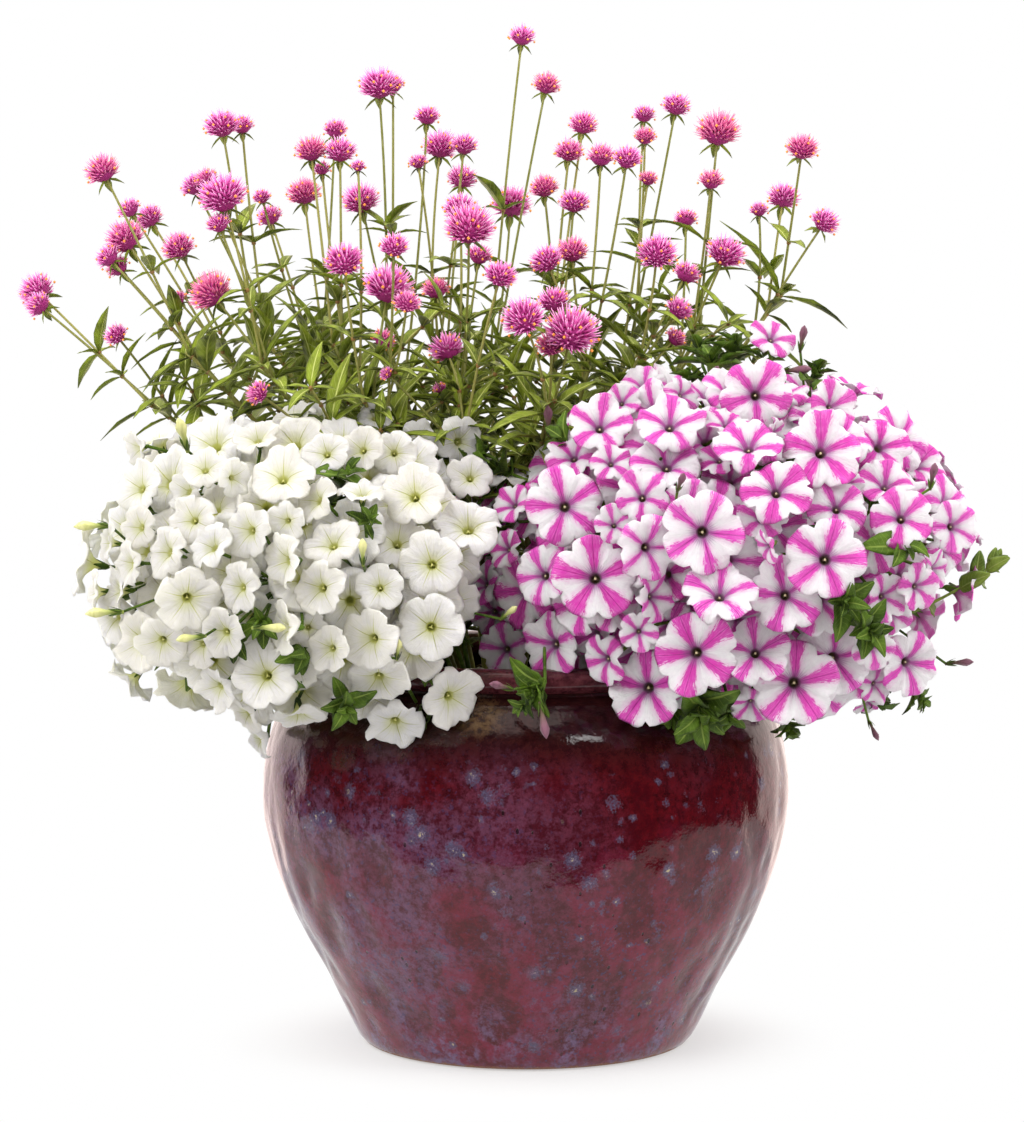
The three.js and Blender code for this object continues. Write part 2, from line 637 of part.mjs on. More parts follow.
function isClear(solid, nodeName) {
  return grown.every(
    (piece) => piece.node === nodeName || !boxesMeet(solid, piece.solid) || !meets(solid, piece.solid),
  );
}

// Whether a fused solid has no edge too short to keep, and none where four faces meet
function isSound(solid) {
  const mesh = solid.getMesh();
  const places = new THREE.BufferAttribute(mesh.vertProperties, 3);
  const uses = new Map();
  for (let first = 0; first < mesh.triVerts.length; first += 3) {
    const corners = [0, 1, 2].map((step) =>
      new THREE.Vector3().fromBufferAttribute(places, mesh.triVerts[first + step]),
    );
    for (let step = 0; step < 3; step += 1) {
      const from = corners[step];
      const to = corners[(step + 1) % 3];
      if (from.distanceTo(to) < SHORTEST_EDGE) {
        return false;
      }
      const ends = [from, to].map((point) => point.toArray().map((value) => value.toFixed(3)).join());
      const edge = ends.sort().join();
      uses.set(edge, (uses.get(edge) ?? 0) + 1);
    }
  }
  return [...uses.values()].every((count) => count === 2);
}

// Fuses the first of several tries that is clear of the other nodes into its own node, or
// none where every try would cross one
function growOn(node, tries) {
  for (const attempt of tries) {
    const solid = attempt();
    if (!isClear(solid, node)) {
      continue;
    }
    const joined = nodes.has(node) ? nodes.get(node).add(solid) : solid;
    if (isSound(joined)) {
      grown.push({ node, solid });
      nodes.set(node, joined);
      return true;
    }
  }
  return false;
}

// The jar: a lathe from the foot, round the belly and the lip and down inside
function jarProfile(offset, rings) {
  const outer = JAR_CURVE.getSpacedPoints(rings);
  return outer.map((point) => new THREE.Vector2(point.x - offset, point.y));
}

function lathe(profile, sides) {
  const geometry = new THREE.LatheGeometry(profile, sides);
  geometry.rotateX(Math.PI / 2);
  return asSolid(geometry);
}

function potSolid() {
  const outer = jarProfile(0, JAR_RINGS).slice(1);
  const inner = jarProfile(WALL, JAR_RINGS_INSIDE).slice(1, -1).reverse();
  const half = LIP_THICKNESS / 2;
  const lipCentre = new THREE.Vector2(NECK_RADIUS - WALL / 2, NECK_HEIGHT + LIP_SEAT + half);
  const lip = LIP_CORNERS.map((degrees) => {
    const angle = THREE.MathUtils.degToRad(degrees);
    const corner = new THREE.Vector2(LIP_REACH * Math.cos(angle), half * Math.sin(angle));
    return corner.add(lipCentre);
  });
  const profile = [
    new THREE.Vector2(0, 0),
    new THREE.Vector2(FOOT_RADIUS - FOOT_CHAMFER, 0),
    new THREE.Vector2(FOOT_RADIUS + 1, FOOT_CHAMFER),
    ...outer,
    ...lip,
    ...inner,
    new THREE.Vector2(FOOT_RADIUS - WALL - 2, FLOOR_THICKNESS),
    new THREE.Vector2(0, FLOOR_THICKNESS),
  ];
  let pot = lathe(profile, JAR_SIDES);
  for (let index = 0; index < DRAIN_COUNT; index += 1) {
    const angle = (index * 2 * Math.PI) / DRAIN_COUNT + Math.PI / 2;
    const hole = new THREE.CylinderGeometry(DRAIN_RADIUS, DRAIN_RADIUS, FLOOR_THICKNESS * 3, DRAIN_SIDES);
    hole.rotateX(Math.PI / 2);
    hole.translate(DRAIN_CIRCLE_RADIUS * Math.cos(angle), DRAIN_CIRCLE_RADIUS * Math.sin(angle), 0);
    pot = pot.subtract(asSolid(hole));
  }
  return pot;
}

// The soil: fills the jar up to a low crown, with a plain hole under each stem
function soilSolid(roots) {
  const inner = jarProfile(WALL + CLEARANCE, JAR_RINGS_INSIDE)
    .slice(1, -1)
    .filter((point) => point.y < SOIL_HEIGHT - 2 * SOIL_EDGE_DROP);
  const edgeHeight = SOIL_HEIGHT - SOIL_EDGE_DROP;
  const edge = jarRadiusAt(edgeHeight) - WALL - SOIL_EDGE_GAP;
  const profile = [
    new THREE.Vector2(0, FLOOR_THICKNESS + CLEARANCE),
    new THREE.Vector2(FOOT_RADIUS - WALL - 3, FLOOR_THICKNESS + CLEARANCE),
    ...inner,
    new THREE.Vector2(edge, edgeHeight),
    new THREE.Vector2(edge * SOIL_FLAT_SHARE, SOIL_HEIGHT),
    new THREE.Vector2(0, SOIL_HEIGHT + SOIL_CROWN),
  ];
  let soil = lathe(profile, SOIL_SIDES);
  for (const { foot, radius } of roots) {
    const reach = radius + CLEARANCE * 2.2;
    const bottom = foot.clone().addScaledVector(UP, -CLEARANCE);
    const top = foot.clone().addScaledVector(UP, STEM_DEPTH * 2);
    const reference = new THREE.Vector3(1, 0, 0);
    const section = Array(STEM_SIDES).fill(reach);
    soil = soil.subtract(loft([ring(bottom, UP, section, reference), ring(top, UP, section, reference)]));
  }
  return soil;
}

// The upright foot of a stem in its hole, drawn into the stem above the soil
function standingStem({ foot, radius }, curve, endRadius) {
  const reference = new THREE.Vector3(1, 0, 0);
  const top = foot.clone().addScaledVector(UP, STEM_DEPTH + SOIL_CROWN + 3);
  const rings = [
    ring(foot, UP, Array(STEM_SIDES).fill(radius), reference),
    ring(top, UP, Array(STEM_SIDES).fill(radius), reference),
  ];
  for (let step = 1; step <= STEM_STEPS; step += 1) {
    const at = step / STEM_STEPS;
    const size = radius + (endRadius - radius) * at;
    rings.push(ring(curve.getPoint(at), curve.getTangent(at), Array(STEM_SIDES).fill(size), reference));
  }
  return loft(rings);
}

const roots = [];

function numbered(name, index) {
  return `${name}_${String(index + 1).padStart(2, "0")}`;
}

// One petunia: its stems, then each bloom on the stem that passes nearest, then leaves
function growPetunia(name, stemList, mound, flowers) {
  const stems = moundStems(stemList, mound);
  stems.forEach((line, index) => {
    const node = numbered(name, index);
    const place = { foot: line.root.clone().addScaledVector(UP, -STEM_DEPTH), radius: PETUNIA_STEM_RADIUS };
    const tries = STEM_TRIES.map(([lift, aside]) => () => {
      line.curve = overTheRim(line, lift, aside);
      return standingStem(place, line.curve, PETUNIA_STEM_RADIUS * 0.8);
    });
    if (!growOn(node, tries)) {
      throw new Error(`${node} finds no clear way`);
    }
    roots.push(place);
  });
  flowers.forEach((flower) => {
    const neck = flower.centre.clone().addScaledVector(flower.facing, -TUBE_LENGTH * flower.radius);
    nearestOnStems(stems, neck).slice(0, NEAREST_STEMS).some(({ index, point }) => {
      const tries = BLOOM_SHIFTS.map((shift) => () => {
        const centre = flower.centre.clone().addScaledVector(flower.facing, shift);
        return bloomSolid({ ...flower, centre }, point);
      });
      return growOn(numbered(name, index), tries);
    });
  });
  stems.forEach(({ curve }, index) => {
    const node = numbered(name, index);
    for (let count = 0; count < LEAVES_ON_A_STEM; count += 1) {
      const at = LEAFY_FROM + (1 - LEAFY_FROM) * ((count + 0.5) / LEAVES_ON_A_STEM);
      const { point: root, along } = onStem(curve, at);
      const tries = [0, 1, 2, 3, 4, 5].map((turn) => () => {
        const angle = count * 2.4 + turn * 1.05 + chance(index, 40 + count) * 2;
        const out = ring(root, along, [1], UP, angle)[0].sub(root);
        const direction = out.addScaledVector(along, 0.5).addScaledVector(UP, 0.2).normalize();
        return leaf(root, direction, PETUNIA_LEAF_LENGTH, PETUNIA_LEAF_WIDTH, PETUNIA_LEAF_DROOP);
      });
      growOn(node, tries);
    }
  });
}

// The shoot of the striped petunia that reaches out to the right, in leaf to its tip
function growSprig() {
  const root = STRIPED_MOUND.patch.clone().add(new THREE.Vector3(SPRIG_ROOT[0], SPRIG_ROOT[1], 0));
  const tip = seenAt(SPRIG_TIP[0], SPRIG_TIP[1], SPRIG_DEPTH);
  const place = { foot: root.clone().addScaledVector(UP, -STEM_DEPTH), radius: PETUNIA_STEM_RADIUS };
  let curve = null;
  const tries = STEM_TRIES.map(([lift, aside]) => () => {
    const over = root.clone().lerp(tip, SPRIG_ARCH_AT);
    over.add(new THREE.Vector3(0, aside, SPRIG_ARCH + lift));
    curve = new THREE.QuadraticBezierCurve3(root, over, tip);
    return standingStem(place, curve, PETUNIA_STEM_RADIUS * 0.6);
  });
  if (!growOn("striped_petunia_sprig", tries)) {
    throw new Error("the sprig finds no clear way");
  }
  roots.push(place);
  SPRIG_LEAVES.forEach((at, count) => {
    const { point, along } = onStem(curve, at);
    growOn(
      "striped_petunia_sprig",
      [0, 0.5, -0.5, 1, -1].map((turn) => () => {
        const out = ring(point, along, [1], UP, count * 2.5 + turn)[0].sub(point);
        const direction = out.addScaledVector(along, 0.5).normalize();
        return leaf(point, direction, SPRIG_LEAF_LENGTH, SPRIG_LEAF_WIDTH, SPRIG_LEAF_DROOP);
      }),
    );
  });
}

// The amaranth: a main stem to each fork, a stalk to each head, leaves in crossed pairs
function amaranthStems() {
  return AMARANTH_SPRAYS.map(({ fork, depth }, spray) => {
    const node = numbered("amaranth_spray", spray);
    const top = seenAt(fork[0], fork[1], depth);
    const spread = new THREE.Vector2(top.x, top.y).sub(AMARANTH_ROOT_CENTRE).multiply(AMARANTH_ROOT_SPREAD);
    const root = new THREE.Vector3(spread.x, spread.y, SOIL_HEIGHT);
    root.add(new THREE.Vector3(AMARANTH_ROOT_CENTRE.x, AMARANTH_ROOT_CENTRE.y, 0));
    const place = { foot: root.clone().addScaledVector(UP, -STEM_DEPTH), radius: AMARANTH_STEM_RADIUS };
    let curve = null;
    const tries = STEM_TRIES.map(([lift, aside]) => () => {
      const rise = root.clone().lerp(top, AMARANTH_ARCH_AT);
      rise.add(new THREE.Vector3(aside, aside / 2, AMARANTH_ARCH + lift));
      curve = new THREE.QuadraticBezierCurve3(root, rise, top);
      return standingStem(place, curve, AMARANTH_STALK_RADIUS * 1.5);
    });
    if (!growOn(node, tries)) {
      throw new Error(`${node} finds no clear way`);
    }
    roots.push(place);
    return { node, curve };
  });
}

function growHeads({ node, curve }, { depth, heads }, spray) {
  heads.forEach(([px, py, width], count) => {
    const index = spray * 10 + count;
    const radius = (width * MM_PER_POINT) / 2;
    const back = depth + (chance(index, 6) - 0.5) * HEAD_DEPTH_SPREAD;
    const tries = HEAD_SHIFTS.map((shift) => () => {
      const from = onStem(curve, LAST_JOINT - HEAD_SPACING * count).point;
      return headOnStalk(from, seenAt(px, py, back + shift), radius, index);
    });
    growOn(node, tries);
  });
}

function growAmaranthLeaves({ node, curve }, spray) {
  AMARANTH_LEAF_PAIRS.forEach((at, pair) => {
    for (const half of [0, Math.PI]) {
      const { point: place, along } = onStem(curve, at);
      const tries = AMARANTH_LEAF_TURNS.map((turn) => () => {
        const angle = half + (pair * Math.PI) / 2 + chance(spray, 50 + pair) * 0.8 + turn;
        const out = ring(place, along, [1], new THREE.Vector3(1, 0, 0), angle)[0].sub(place);
        const direction = out.addScaledVector(along, 0.32).normalize();
        const length = AMARANTH_LEAF_LENGTH * (0.85 + 0.3 * chance(spray, 60 + pair));
        return leaf(place, direction, length, AMARANTH_LEAF_WIDTH, AMARANTH_LEAF_DROOP);
      });
      growOn(node, tries);
    }
  });
}

// Whether a bloom turned away from the eye hangs outside the rim on its own side of the jar
function hangsBehind(centre, facing, side) {
  const turnedAway = facing.y > -0.1 && facing.z < 0.8 && facing.x * side > -0.35;
  const outside = centre.z > 262 && Math.hypot(centre.x, centre.y) > 175 && centre.x * side > 40;
  return turnedAway && outside;
}

const taken = [];
const whiteFront = frontBlooms(WHITE_BLOOMS, WHITE_MOUND, taken);
const stripedFront = frontBlooms(STRIPED_BLOOMS, STRIPED_MOUND, taken);
const whiteBack = backBlooms(WHITE_MOUND, taken, WHITE_HIDDEN_INDEX, (c, f) => hangsBehind(c, f, -1));
const stripedBack = backBlooms(STRIPED_MOUND, taken, STRIPED_HIDDEN_INDEX, (c, f) => hangsBehind(c, f, 1));

const pot = potSolid();
grown.push({ node: "pot", solid: pot });
const sprays = amaranthStems();
growPetunia("white_petunia_stem", WHITE_STEMS, WHITE_MOUND, [...whiteFront, ...whiteBack]);
growPetunia("striped_petunia_stem", STRIPED_STEMS, STRIPED_MOUND, [...stripedFront, ...stripedBack]);
growSprig();
sprays.forEach((spray, index) => growHeads(spray, AMARANTH_SPRAYS[index], index));
sprays.forEach(growAmaranthLeaves);

const group = new THREE.Group();

function addMesh(name, solid, { color, roughness }) {
  const material = new THREE.MeshStandardMaterial({ color, roughness, metalness: 0 });
  const mesh = new THREE.Mesh(asGeometry(solid), material);
  mesh.name = name;
  group.add(mesh);
}

addMesh("pot", pot, COLOURS.pot);
addMesh("soil", soilSolid(roots), COLOURS.soil);
for (const [name, solid] of nodes) {
  addMesh(name, solid, COLOURS[name.replace(/_\d+$/, "")]);
}

export default group;
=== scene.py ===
# A planted jar in bloom: globe amaranth behind, a white and a striped petunia in front.
# Plants are laid out in millimetres and written in metres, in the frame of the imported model.

import math

import bpy
import numpy as np
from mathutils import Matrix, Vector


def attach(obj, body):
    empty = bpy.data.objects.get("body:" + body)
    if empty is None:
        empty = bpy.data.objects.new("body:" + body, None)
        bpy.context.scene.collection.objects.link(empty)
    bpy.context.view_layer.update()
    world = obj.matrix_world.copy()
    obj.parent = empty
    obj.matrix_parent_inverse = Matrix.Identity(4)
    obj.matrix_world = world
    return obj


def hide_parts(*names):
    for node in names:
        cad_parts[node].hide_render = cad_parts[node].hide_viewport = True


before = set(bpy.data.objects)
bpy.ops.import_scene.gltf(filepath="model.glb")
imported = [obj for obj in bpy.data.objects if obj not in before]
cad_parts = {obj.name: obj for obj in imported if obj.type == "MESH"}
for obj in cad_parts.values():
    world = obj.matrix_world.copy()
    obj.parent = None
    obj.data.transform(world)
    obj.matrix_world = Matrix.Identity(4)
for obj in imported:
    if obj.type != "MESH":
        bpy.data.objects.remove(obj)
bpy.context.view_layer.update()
MM = 0.001


# The view, the floor and the light. The jar stands on a pale floor that fades into a white
# backdrop, in a room that is dark in front and bright behind, as its glaze shows. Soft boxes
# stand high on the left, on the right, overhead and behind each shoulder.
EYE = np.array([-10.5, -2600.0, 549.0])
AIM_HEIGHT = 361.0
PICTURE_WIDTH = 1024
PICTURE_HEIGHT = 1122
PICTURE_FOCAL = 3467.0
SENSOR = 36.0
EYE_PITCH = math.atan((EYE[2] - AIM_HEIGHT) / -EYE[1])

FLOOR_CENTRE = (0.05, 0.0)
FLOOR_RADII = (1.0, 0.44)
FLOOR_FADE = (0.12, 0.26)
FLOOR_SHADE = 0.45
FLOOR_SIDES = 96
PAPER_TONES = ((0.7, 0.7, 0.7, 1.0), (0.73, 0.73, 0.73, 1.0))
WHITE = (1.0, 1.0, 1.0, 1.0)
BACKDROP_WHITE = 1.0
ROOM_LIGHT = 1.06
ROOM_TINT = (1.0, 0.975, 0.94, 1.0)
ROOM_GLOSS = (0.05, 1.7)
GLOSS_TINT = (1.0, 0.84, 0.79, 1.0)
GLOSS_BEHIND = (0.46, 0.56)
GLOSS_ABOVE = (0.86, 0.99)
# place, size across and up, watts, what it is aimed at, and whether glossy things show it
SOFT_BOXES = {
    "light_high_left": ((-2.1, -2.4, 2.7), (2.8, 2.8), 103.0, (0.0, 0.0, 0.4), False),
    "light_right": ((3.3, -0.9, 1.6), (2.0, 2.0), 54.0, (0.0, 0.0, 0.4), False),
    "light_left_behind": ((-2.4, 1.5, 1.0), (2.0, 2.0), 42.0, (0.0, 0.0, 0.4), False),
    "light_right_behind": ((2.4, 1.7, 1.0), (2.0, 2.0), 34.0, (0.0, 0.0, 0.4), False),
    "light_overhead": ((0.1, 0.3, 2.6), (1.8, 1.8), 30.0, (0.0, 0.0, 0.3), False),
    "light_glint": ((0.85, -1.05, 1.75), (0.42, 0.42), 5.0, (0.05, -0.15, 0.25), True),
    "light_glint_left": ((-1.4, -1.0, 1.8), (1.0, 0.6), 4.0, (0.0, -0.1, 0.25), True),
}


def tone(red, green, blue):
    """A colour as a screen shows it, 0 to 255, in the shader's own linear values."""
    parts = [value / 255 for value in (red, green, blue)]
    linear = [p / 12.92 if p <= 0.04045 else ((p + 0.055) / 1.055) ** 2.4 for p in parts]
    return (*linear, 1.0)


def full_turn(count):
    """Angles evenly spaced once round."""
    return np.linspace(0, 2 * math.pi, count, endpoint=False)


class Wiring:
    """A tree of shader nodes, and the few kinds of node that its patterns are made of."""

    def __init__(self, tree):
        self.tree = tree

    def put(self, kind, inputs, **settings):
        made = self.tree.nodes.new(kind)
        for key, value in settings.items():
            setattr(made, key, value)
        for key, value in inputs.items():
            if isinstance(value, bpy.types.NodeSocket):
                self.tree.links.new(value, made.inputs[key])
            else:
                made.inputs[key].default_value = value
        return made

    def math(self, operation, first, second=0.0):
        return self.put("ShaderNodeMath", {0: first, 1: second}, operation=operation).outputs[0]

    def times(self, value, *others):
        for other in others:
            value = self.math("MULTIPLY", value, other)
        return value

    def plus(self, value, *others):
        for other in others:
            value = self.math("ADD", value, other)
        return value

    def span(self, value, low, high, start=0.0, end=1.0, smooth=True):
        """The value carried from one range to another, held at both ends."""
        kind = "SMOOTHSTEP" if smooth else "LINEAR"
        values = {"Value": value, "From Min": low, "From Max": high, "To Min": start, "To Max": end}
        return self.put("ShaderNodeMapRange", values, interpolation_type=kind).outputs[0]

    def mix(self, share, first, second):
        """Two colours by the share of the second; three numbers are a tone of a screen."""
        first, second = (
            tone(*c) if isinstance(c, tuple) and len(c) == 3 else c for c in (first, second)
        )
        values = {0: share, 6: first, 7: second}
        return self.put("ShaderNodeMix", values, data_type="RGBA").outputs[2]


class Finish(Wiring):
    """One procedural material, whose colour is laid on coat by coat."""

    def __init__(self, name, **sockets):
        self.material = bpy.data.materials.new(name)
        self.material.use_nodes = True
        super().__init__(self.material.node_tree)
        self.shader = self.tree.nodes["Principled BSDF"]
        for socket, value in sockets.items():
            self.shader.inputs[socket.replace("_", " ")].default_value = value

    def given(self, name):
        return self.put("ShaderNodeAttribute", {}, attribute_name=name).outputs["Fac"]

    def spot(self):
        return self.put("ShaderNodeTexCoord", {}).outputs["Object"]

    def place(self, scale=(1.0, 1.0, 1.0)):
        values = {"Vector": self.spot(), "Scale": scale}
        return self.put("ShaderNodeMapping", values).outputs[0]

    def noise(self, vector, scale, detail=3.0, roughness=0.55):
        values = {"Vector": vector, "Scale": scale, "Detail": detail, "Roughness": roughness}
        return self.put("ShaderNodeTexNoise", values).outputs["Fac"]

    def cells(self, vector, scale):
        values = {"Vector": vector, "Scale": scale}
        return self.put("ShaderNodeTexVoronoi", values).outputs["Distance"]

    def coat(self, share, colour):
        self.colour = self.mix(share, self.colour, colour)

    def wear(self, relief, distance, strength, **others):
        """Puts the colour and a relief of this depth in metres on the shader."""
        values = {"Height": relief, "Distance": distance, "Strength": strength}
        others["Normal"] = self.put("ShaderNodeBump", values).outputs[0]
        others["Base Color"] = self.colour
        for socket, value in others.items():
            self.tree.links.new(value, self.shader.inputs[socket])
        return self.material


camera_data = bpy.data.cameras.new("camera")
camera_data.lens = PICTURE_FOCAL / PICTURE_HEIGHT * SENSOR
camera_data.sensor_width = SENSOR
camera_data.clip_end = 60.0
camera = bpy.data.objects.new("camera", camera_data)
camera.location = EYE * MM
camera.rotation_euler = (math.pi / 2 - EYE_PITCH, 0.0, 0.0)
bpy.context.scene.collection.objects.link(camera)
bpy.context.scene.camera = camera
bpy.context.scene.view_settings.view_transform = "Standard"

rim = [
    (FLOOR_RADII[0] * math.cos(turn), FLOOR_RADII[1] * math.sin(turn), -0.0006)
    for turn in full_turn(FLOOR_SIDES)
]
floor_mesh = bpy.data.meshes.new("floor")
floor_mesh.from_pydata(rim, [], [list(range(FLOOR_SIDES))])
floor = bpy.data.objects.new("floor", floor_mesh)
floor.location = (*FLOOR_CENTRE, 0.0)
bpy.context.scene.collection.objects.link(floor)
paper = Finish("floor_paper", Roughness=0.9)
spot = paper.put("ShaderNodeVectorMath", {0: paper.spot(), 1: (*FLOOR_CENTRE, 0.0)}).outputs[0]
out = paper.put("ShaderNodeVectorMath", {0: spot}, operation="LENGTH").outputs["Value"]
grey = paper.mix(paper.noise(spot, 260.0), *PAPER_TONES)
paper.tree.links.new(grey, paper.shader.inputs["Base Color"])
glow = paper.put("ShaderNodeEmission", {"Strength": BACKDROP_WHITE})
share = paper.span(out, *FLOOR_FADE, FLOOR_SHADE)
fade = paper.put("ShaderNodeMixShader", {0: share, 1: paper.shader.outputs[0], 2: glow.outputs[0]})
paper.tree.links.new(fade.outputs[0], paper.tree.nodes["Material Output"].inputs[0])
floor_mesh.materials.append(paper.material)

world = bpy.data.worlds.new("room")
bpy.context.scene.world = world
world.use_nodes = True
room = Wiring(world.node_tree)
backdrop = room.tree.nodes["Background"]
backdrop.inputs[0].default_value = WHITE
backdrop.inputs[1].default_value = BACKDROP_WHITE
ray = room.put("ShaderNodeLightPath", {}).outputs
way = room.put("ShaderNodeTexCoord", {}).outputs["Generated"]
sides = room.put("ShaderNodeSeparateXYZ", {0: way}).outputs
behind = room.span(sides["Y"], *GLOSS_BEHIND, *ROOM_GLOSS)
above = room.span(sides["Z"], *GLOSS_ABOVE, *ROOM_GLOSS)
gloss = room.math("MAXIMUM", behind, above)
strength = room.span(ray["Is Glossy Ray"], 0.0, 1.0, ROOM_LIGHT, gloss, False)
tint = room.mix(ray["Is Glossy Ray"], ROOM_TINT, GLOSS_TINT)
walls = room.put("ShaderNodeBackground", {0: tint, 1: strength})
seen = room.put(
    "ShaderNodeMixShader", {0: ray["Is Camera Ray"], 1: walls.outputs[0], 2: backdrop.outputs[0]}
)
room.tree.links.new(seen.outputs[0], room.tree.nodes["World Output"].inputs[0])

for name, (place, size, watts, aim, shows) in SOFT_BOXES.items():
    box = bpy.data.lights.new(name, "AREA")
    box.shape = "RECTANGLE"
    box.size, box.size_y = size
    box.energy = watts
    lamp = bpy.data.objects.new(name, box)
    lamp.location = place
    lamp.visible_glossy = shows
    way = Vector(aim) - Vector(place)
    lamp.rotation_euler = way.to_track_quat("-Z", "Y").to_euler()
    bpy.context.scene.collection.objects.link(lamp)


# The jar: thrown stoneware with a round belly, a rolled lip and a flat foot with three drain
# holes, beaten with shallow dimples, dipped in an oxblood glaze that breaks brown at the lip
# and purple and blue where it ran, and left bare at the foot. Under the lip are painted shade
# and one painted highlight.
JAR_CORNERS = np.array(
    [(124, 0), (151, 52), (179, 106), (195, 157), (198, 200), (189, 242), (171, 266), (157, 276)],
    float,
)
NECK_RADIUS, NECK_HEIGHT = JAR_CORNERS[-1]
JAR_FOOT = [(0.5, 0), (40, 0), (80, 0), (118, 0), (121.5, 0.5), (123.2, 1.6), (124.4, 3)]
LIP_CENTRE = np.array([152.5, 286.0])
LIP_REACH = np.array([12.0, 9.0])
LIP_ROLL = (-62, 200)
LIP_OVERHANG = 9.0
JAR_HEIGHT = 295.0
JAR_WALL = 9.0
JAR_FLOOR = 14.0
JAR_TURNS = 240
JAR_ROWS = 76
DRAIN_RADIUS = 9.0
DRAIN_CIRCLE = 62.0
DIMPLES = 520
DIMPLE_DEPTH = 1.1
# The least width, and how much wider the widest is
DIMPLE_WIDTH = (6.5, 5.0)
DIMPLE_TALLER = 1.5
DIMPLE_TURN = 2.39996
DIMPLE_STRAY = 0.5
# The height they fade from, over how much height, and by what share
DIMPLE_FADES = (150.0, 100.0, 0.55)
BEATEN_FROM = 22.0
BEATEN_OVER = 225.0
TRUE_BELOW = 3.0
TRUE_ABOVE = 272.0
TRUE_TO_BEATEN = 14.0
OVAL = 0.5
LUMPY = 0.35


def jar_curve(count):
    """Points up the jar's outside, evenly spaced in the curve's own measure."""
    last = len(JAR_CORNERS) - 1
    found = []
    for at in np.linspace(0, last, count + 1):
        run = int(at)
        t = at - run
        p0, p1, p2, p3 = (JAR_CORNERS[min(last, max(0, run + k))] for k in (-1, 0, 1, 2))
        if run == 0:
            p0 = p1
        v0, v1 = (p2 - p0) / 2, (p3 - p1) / 2
        cubic = (2 * p1 - 2 * p2 + v0 + v1) * t**3 + (-3 * p1 + 3 * p2 - 2 * v0 - v1) * t**2
        found.append(cubic + v0 * t + p1)
    return np.array(found)


JAR_POINTS = jar_curve(60)


def jar_radius_at(height):
    """How far the jar's outside stands from its axis at a height."""
    if height >= NECK_HEIGHT:
        return NECK_RADIUS + LIP_OVERHANG
    return float(np.interp(height, JAR_POINTS[:, 1], JAR_POINTS[:, 0]))


def turned(profile, turns):
    """The skin of a thing thrown on a wheel: its profile of radius and height at each turn."""
    radii, heights = profile[:, :1], profile[:, 1:]
    return np.stack([radii * np.cos(turns), radii * np.sin(turns), heights + 0 * turns], -1)


def chance(index, draw):
    """The same number between 0 and 1 for the same pair, with no order to keep."""
    wave = np.sin(np.asarray(index) * 12.9898 + draw * 78.233) * 43758.5453
    return wave - np.floor(wave)


class Growth:
    """Gathers closed skins, each a stack of rings of points, into the mesh of one piece."""

    def __init__(self):
        self.points, self.corners, self.totals, self.paints = [], [], [], []
        self.marks = {"reach": [], "across": [], "chance": []}
        self.count = 0

    def add(self, rings, paint, reach=0.0, across=0.0, luck=0.0):
        """rings is skins x rings x points x 3; the marks spread over it."""
        rings = np.asarray(rings, float)
        if rings.ndim == 3:
            rings = rings[None]
        skins, rows, across_count, _ = rings.shape
        shape = (skins, rows, across_count)
        marks = {"reach": reach, "across": across, "chance": luck}
        index = np.arange(skins * rows * across_count).reshape(shape)
        low, high = index[:, :-1], index[:, 1:]
        quads = np.stack([low, np.roll(low, -1, 2), np.roll(high, -1, 2), high], -1)
        flat = rings.reshape(-1, 3)
        middle = rings.mean((1, 2))[:, None, None, None]
        a, b, c, d = (flat[quads[..., k]] - middle[:, :, 0] for k in range(4))
        volume = (a * np.cross(b, c)).sum(-1) + (a * np.cross(c, d)).sum(-1)
        inside_out = volume.sum((1, 2)) < 0
        quads[inside_out] = quads[inside_out][..., ::-1]
        ends = np.stack([index[:, 0, ::-1], index[:, -1]], 1)
        ends[inside_out] = ends[inside_out][..., ::-1]
        self.points.append(flat)
        self.corners += [quads.reshape(-1) + self.count, ends.reshape(-1) + self.count]
        self.totals += [np.full(quads.size // 4, 4), np.full(skins * 2, across_count)]
        self.paints.append(np.full(quads.size // 4 + skins * 2, paint))
        for name, value in marks.items():
            self.marks[name].append(np.broadcast_to(value, shape).reshape(-1))
        self.count += len(flat)

    def piece(self, name, finishes):
        """The object made of all the skins, with its marks and finishes."""
        mesh = bpy.data.meshes.new(name)
        points = np.concatenate(self.points) * MM
        corners = np.concatenate(self.corners)
        totals = np.concatenate(self.totals)
        mesh.vertices.add(len(points))
        mesh.vertices.foreach_set("co", points.reshape(-1).astype(np.float32))
        mesh.loops.add(len(corners))
        mesh.loops.foreach_set("vertex_index", corners.astype(np.int32))
        mesh.polygons.add(len(totals))
        starts = np.concatenate([[0], np.cumsum(totals)[:-1]])
        mesh.polygons.foreach_set("loop_start", starts.astype(np.int32))
        mesh.polygons.foreach_set("material_index", np.concatenate(self.paints).astype(np.int32))
        mesh.polygons.foreach_set("use_smooth", np.ones(len(totals), bool))
        for name_of_mark, values in self.marks.items():
            mark = mesh.attributes.new(name_of_mark, "FLOAT", "POINT")
            mark.data.foreach_set("value", np.concatenate(values).astype(np.float32))
        mesh.update(calc_edges=True)
        mesh.validate()
        for finish in finishes:
            mesh.materials.append(finish)
        made = bpy.data.objects.new(name, mesh)
        bpy.context.scene.collection.objects.link(made)
        return made


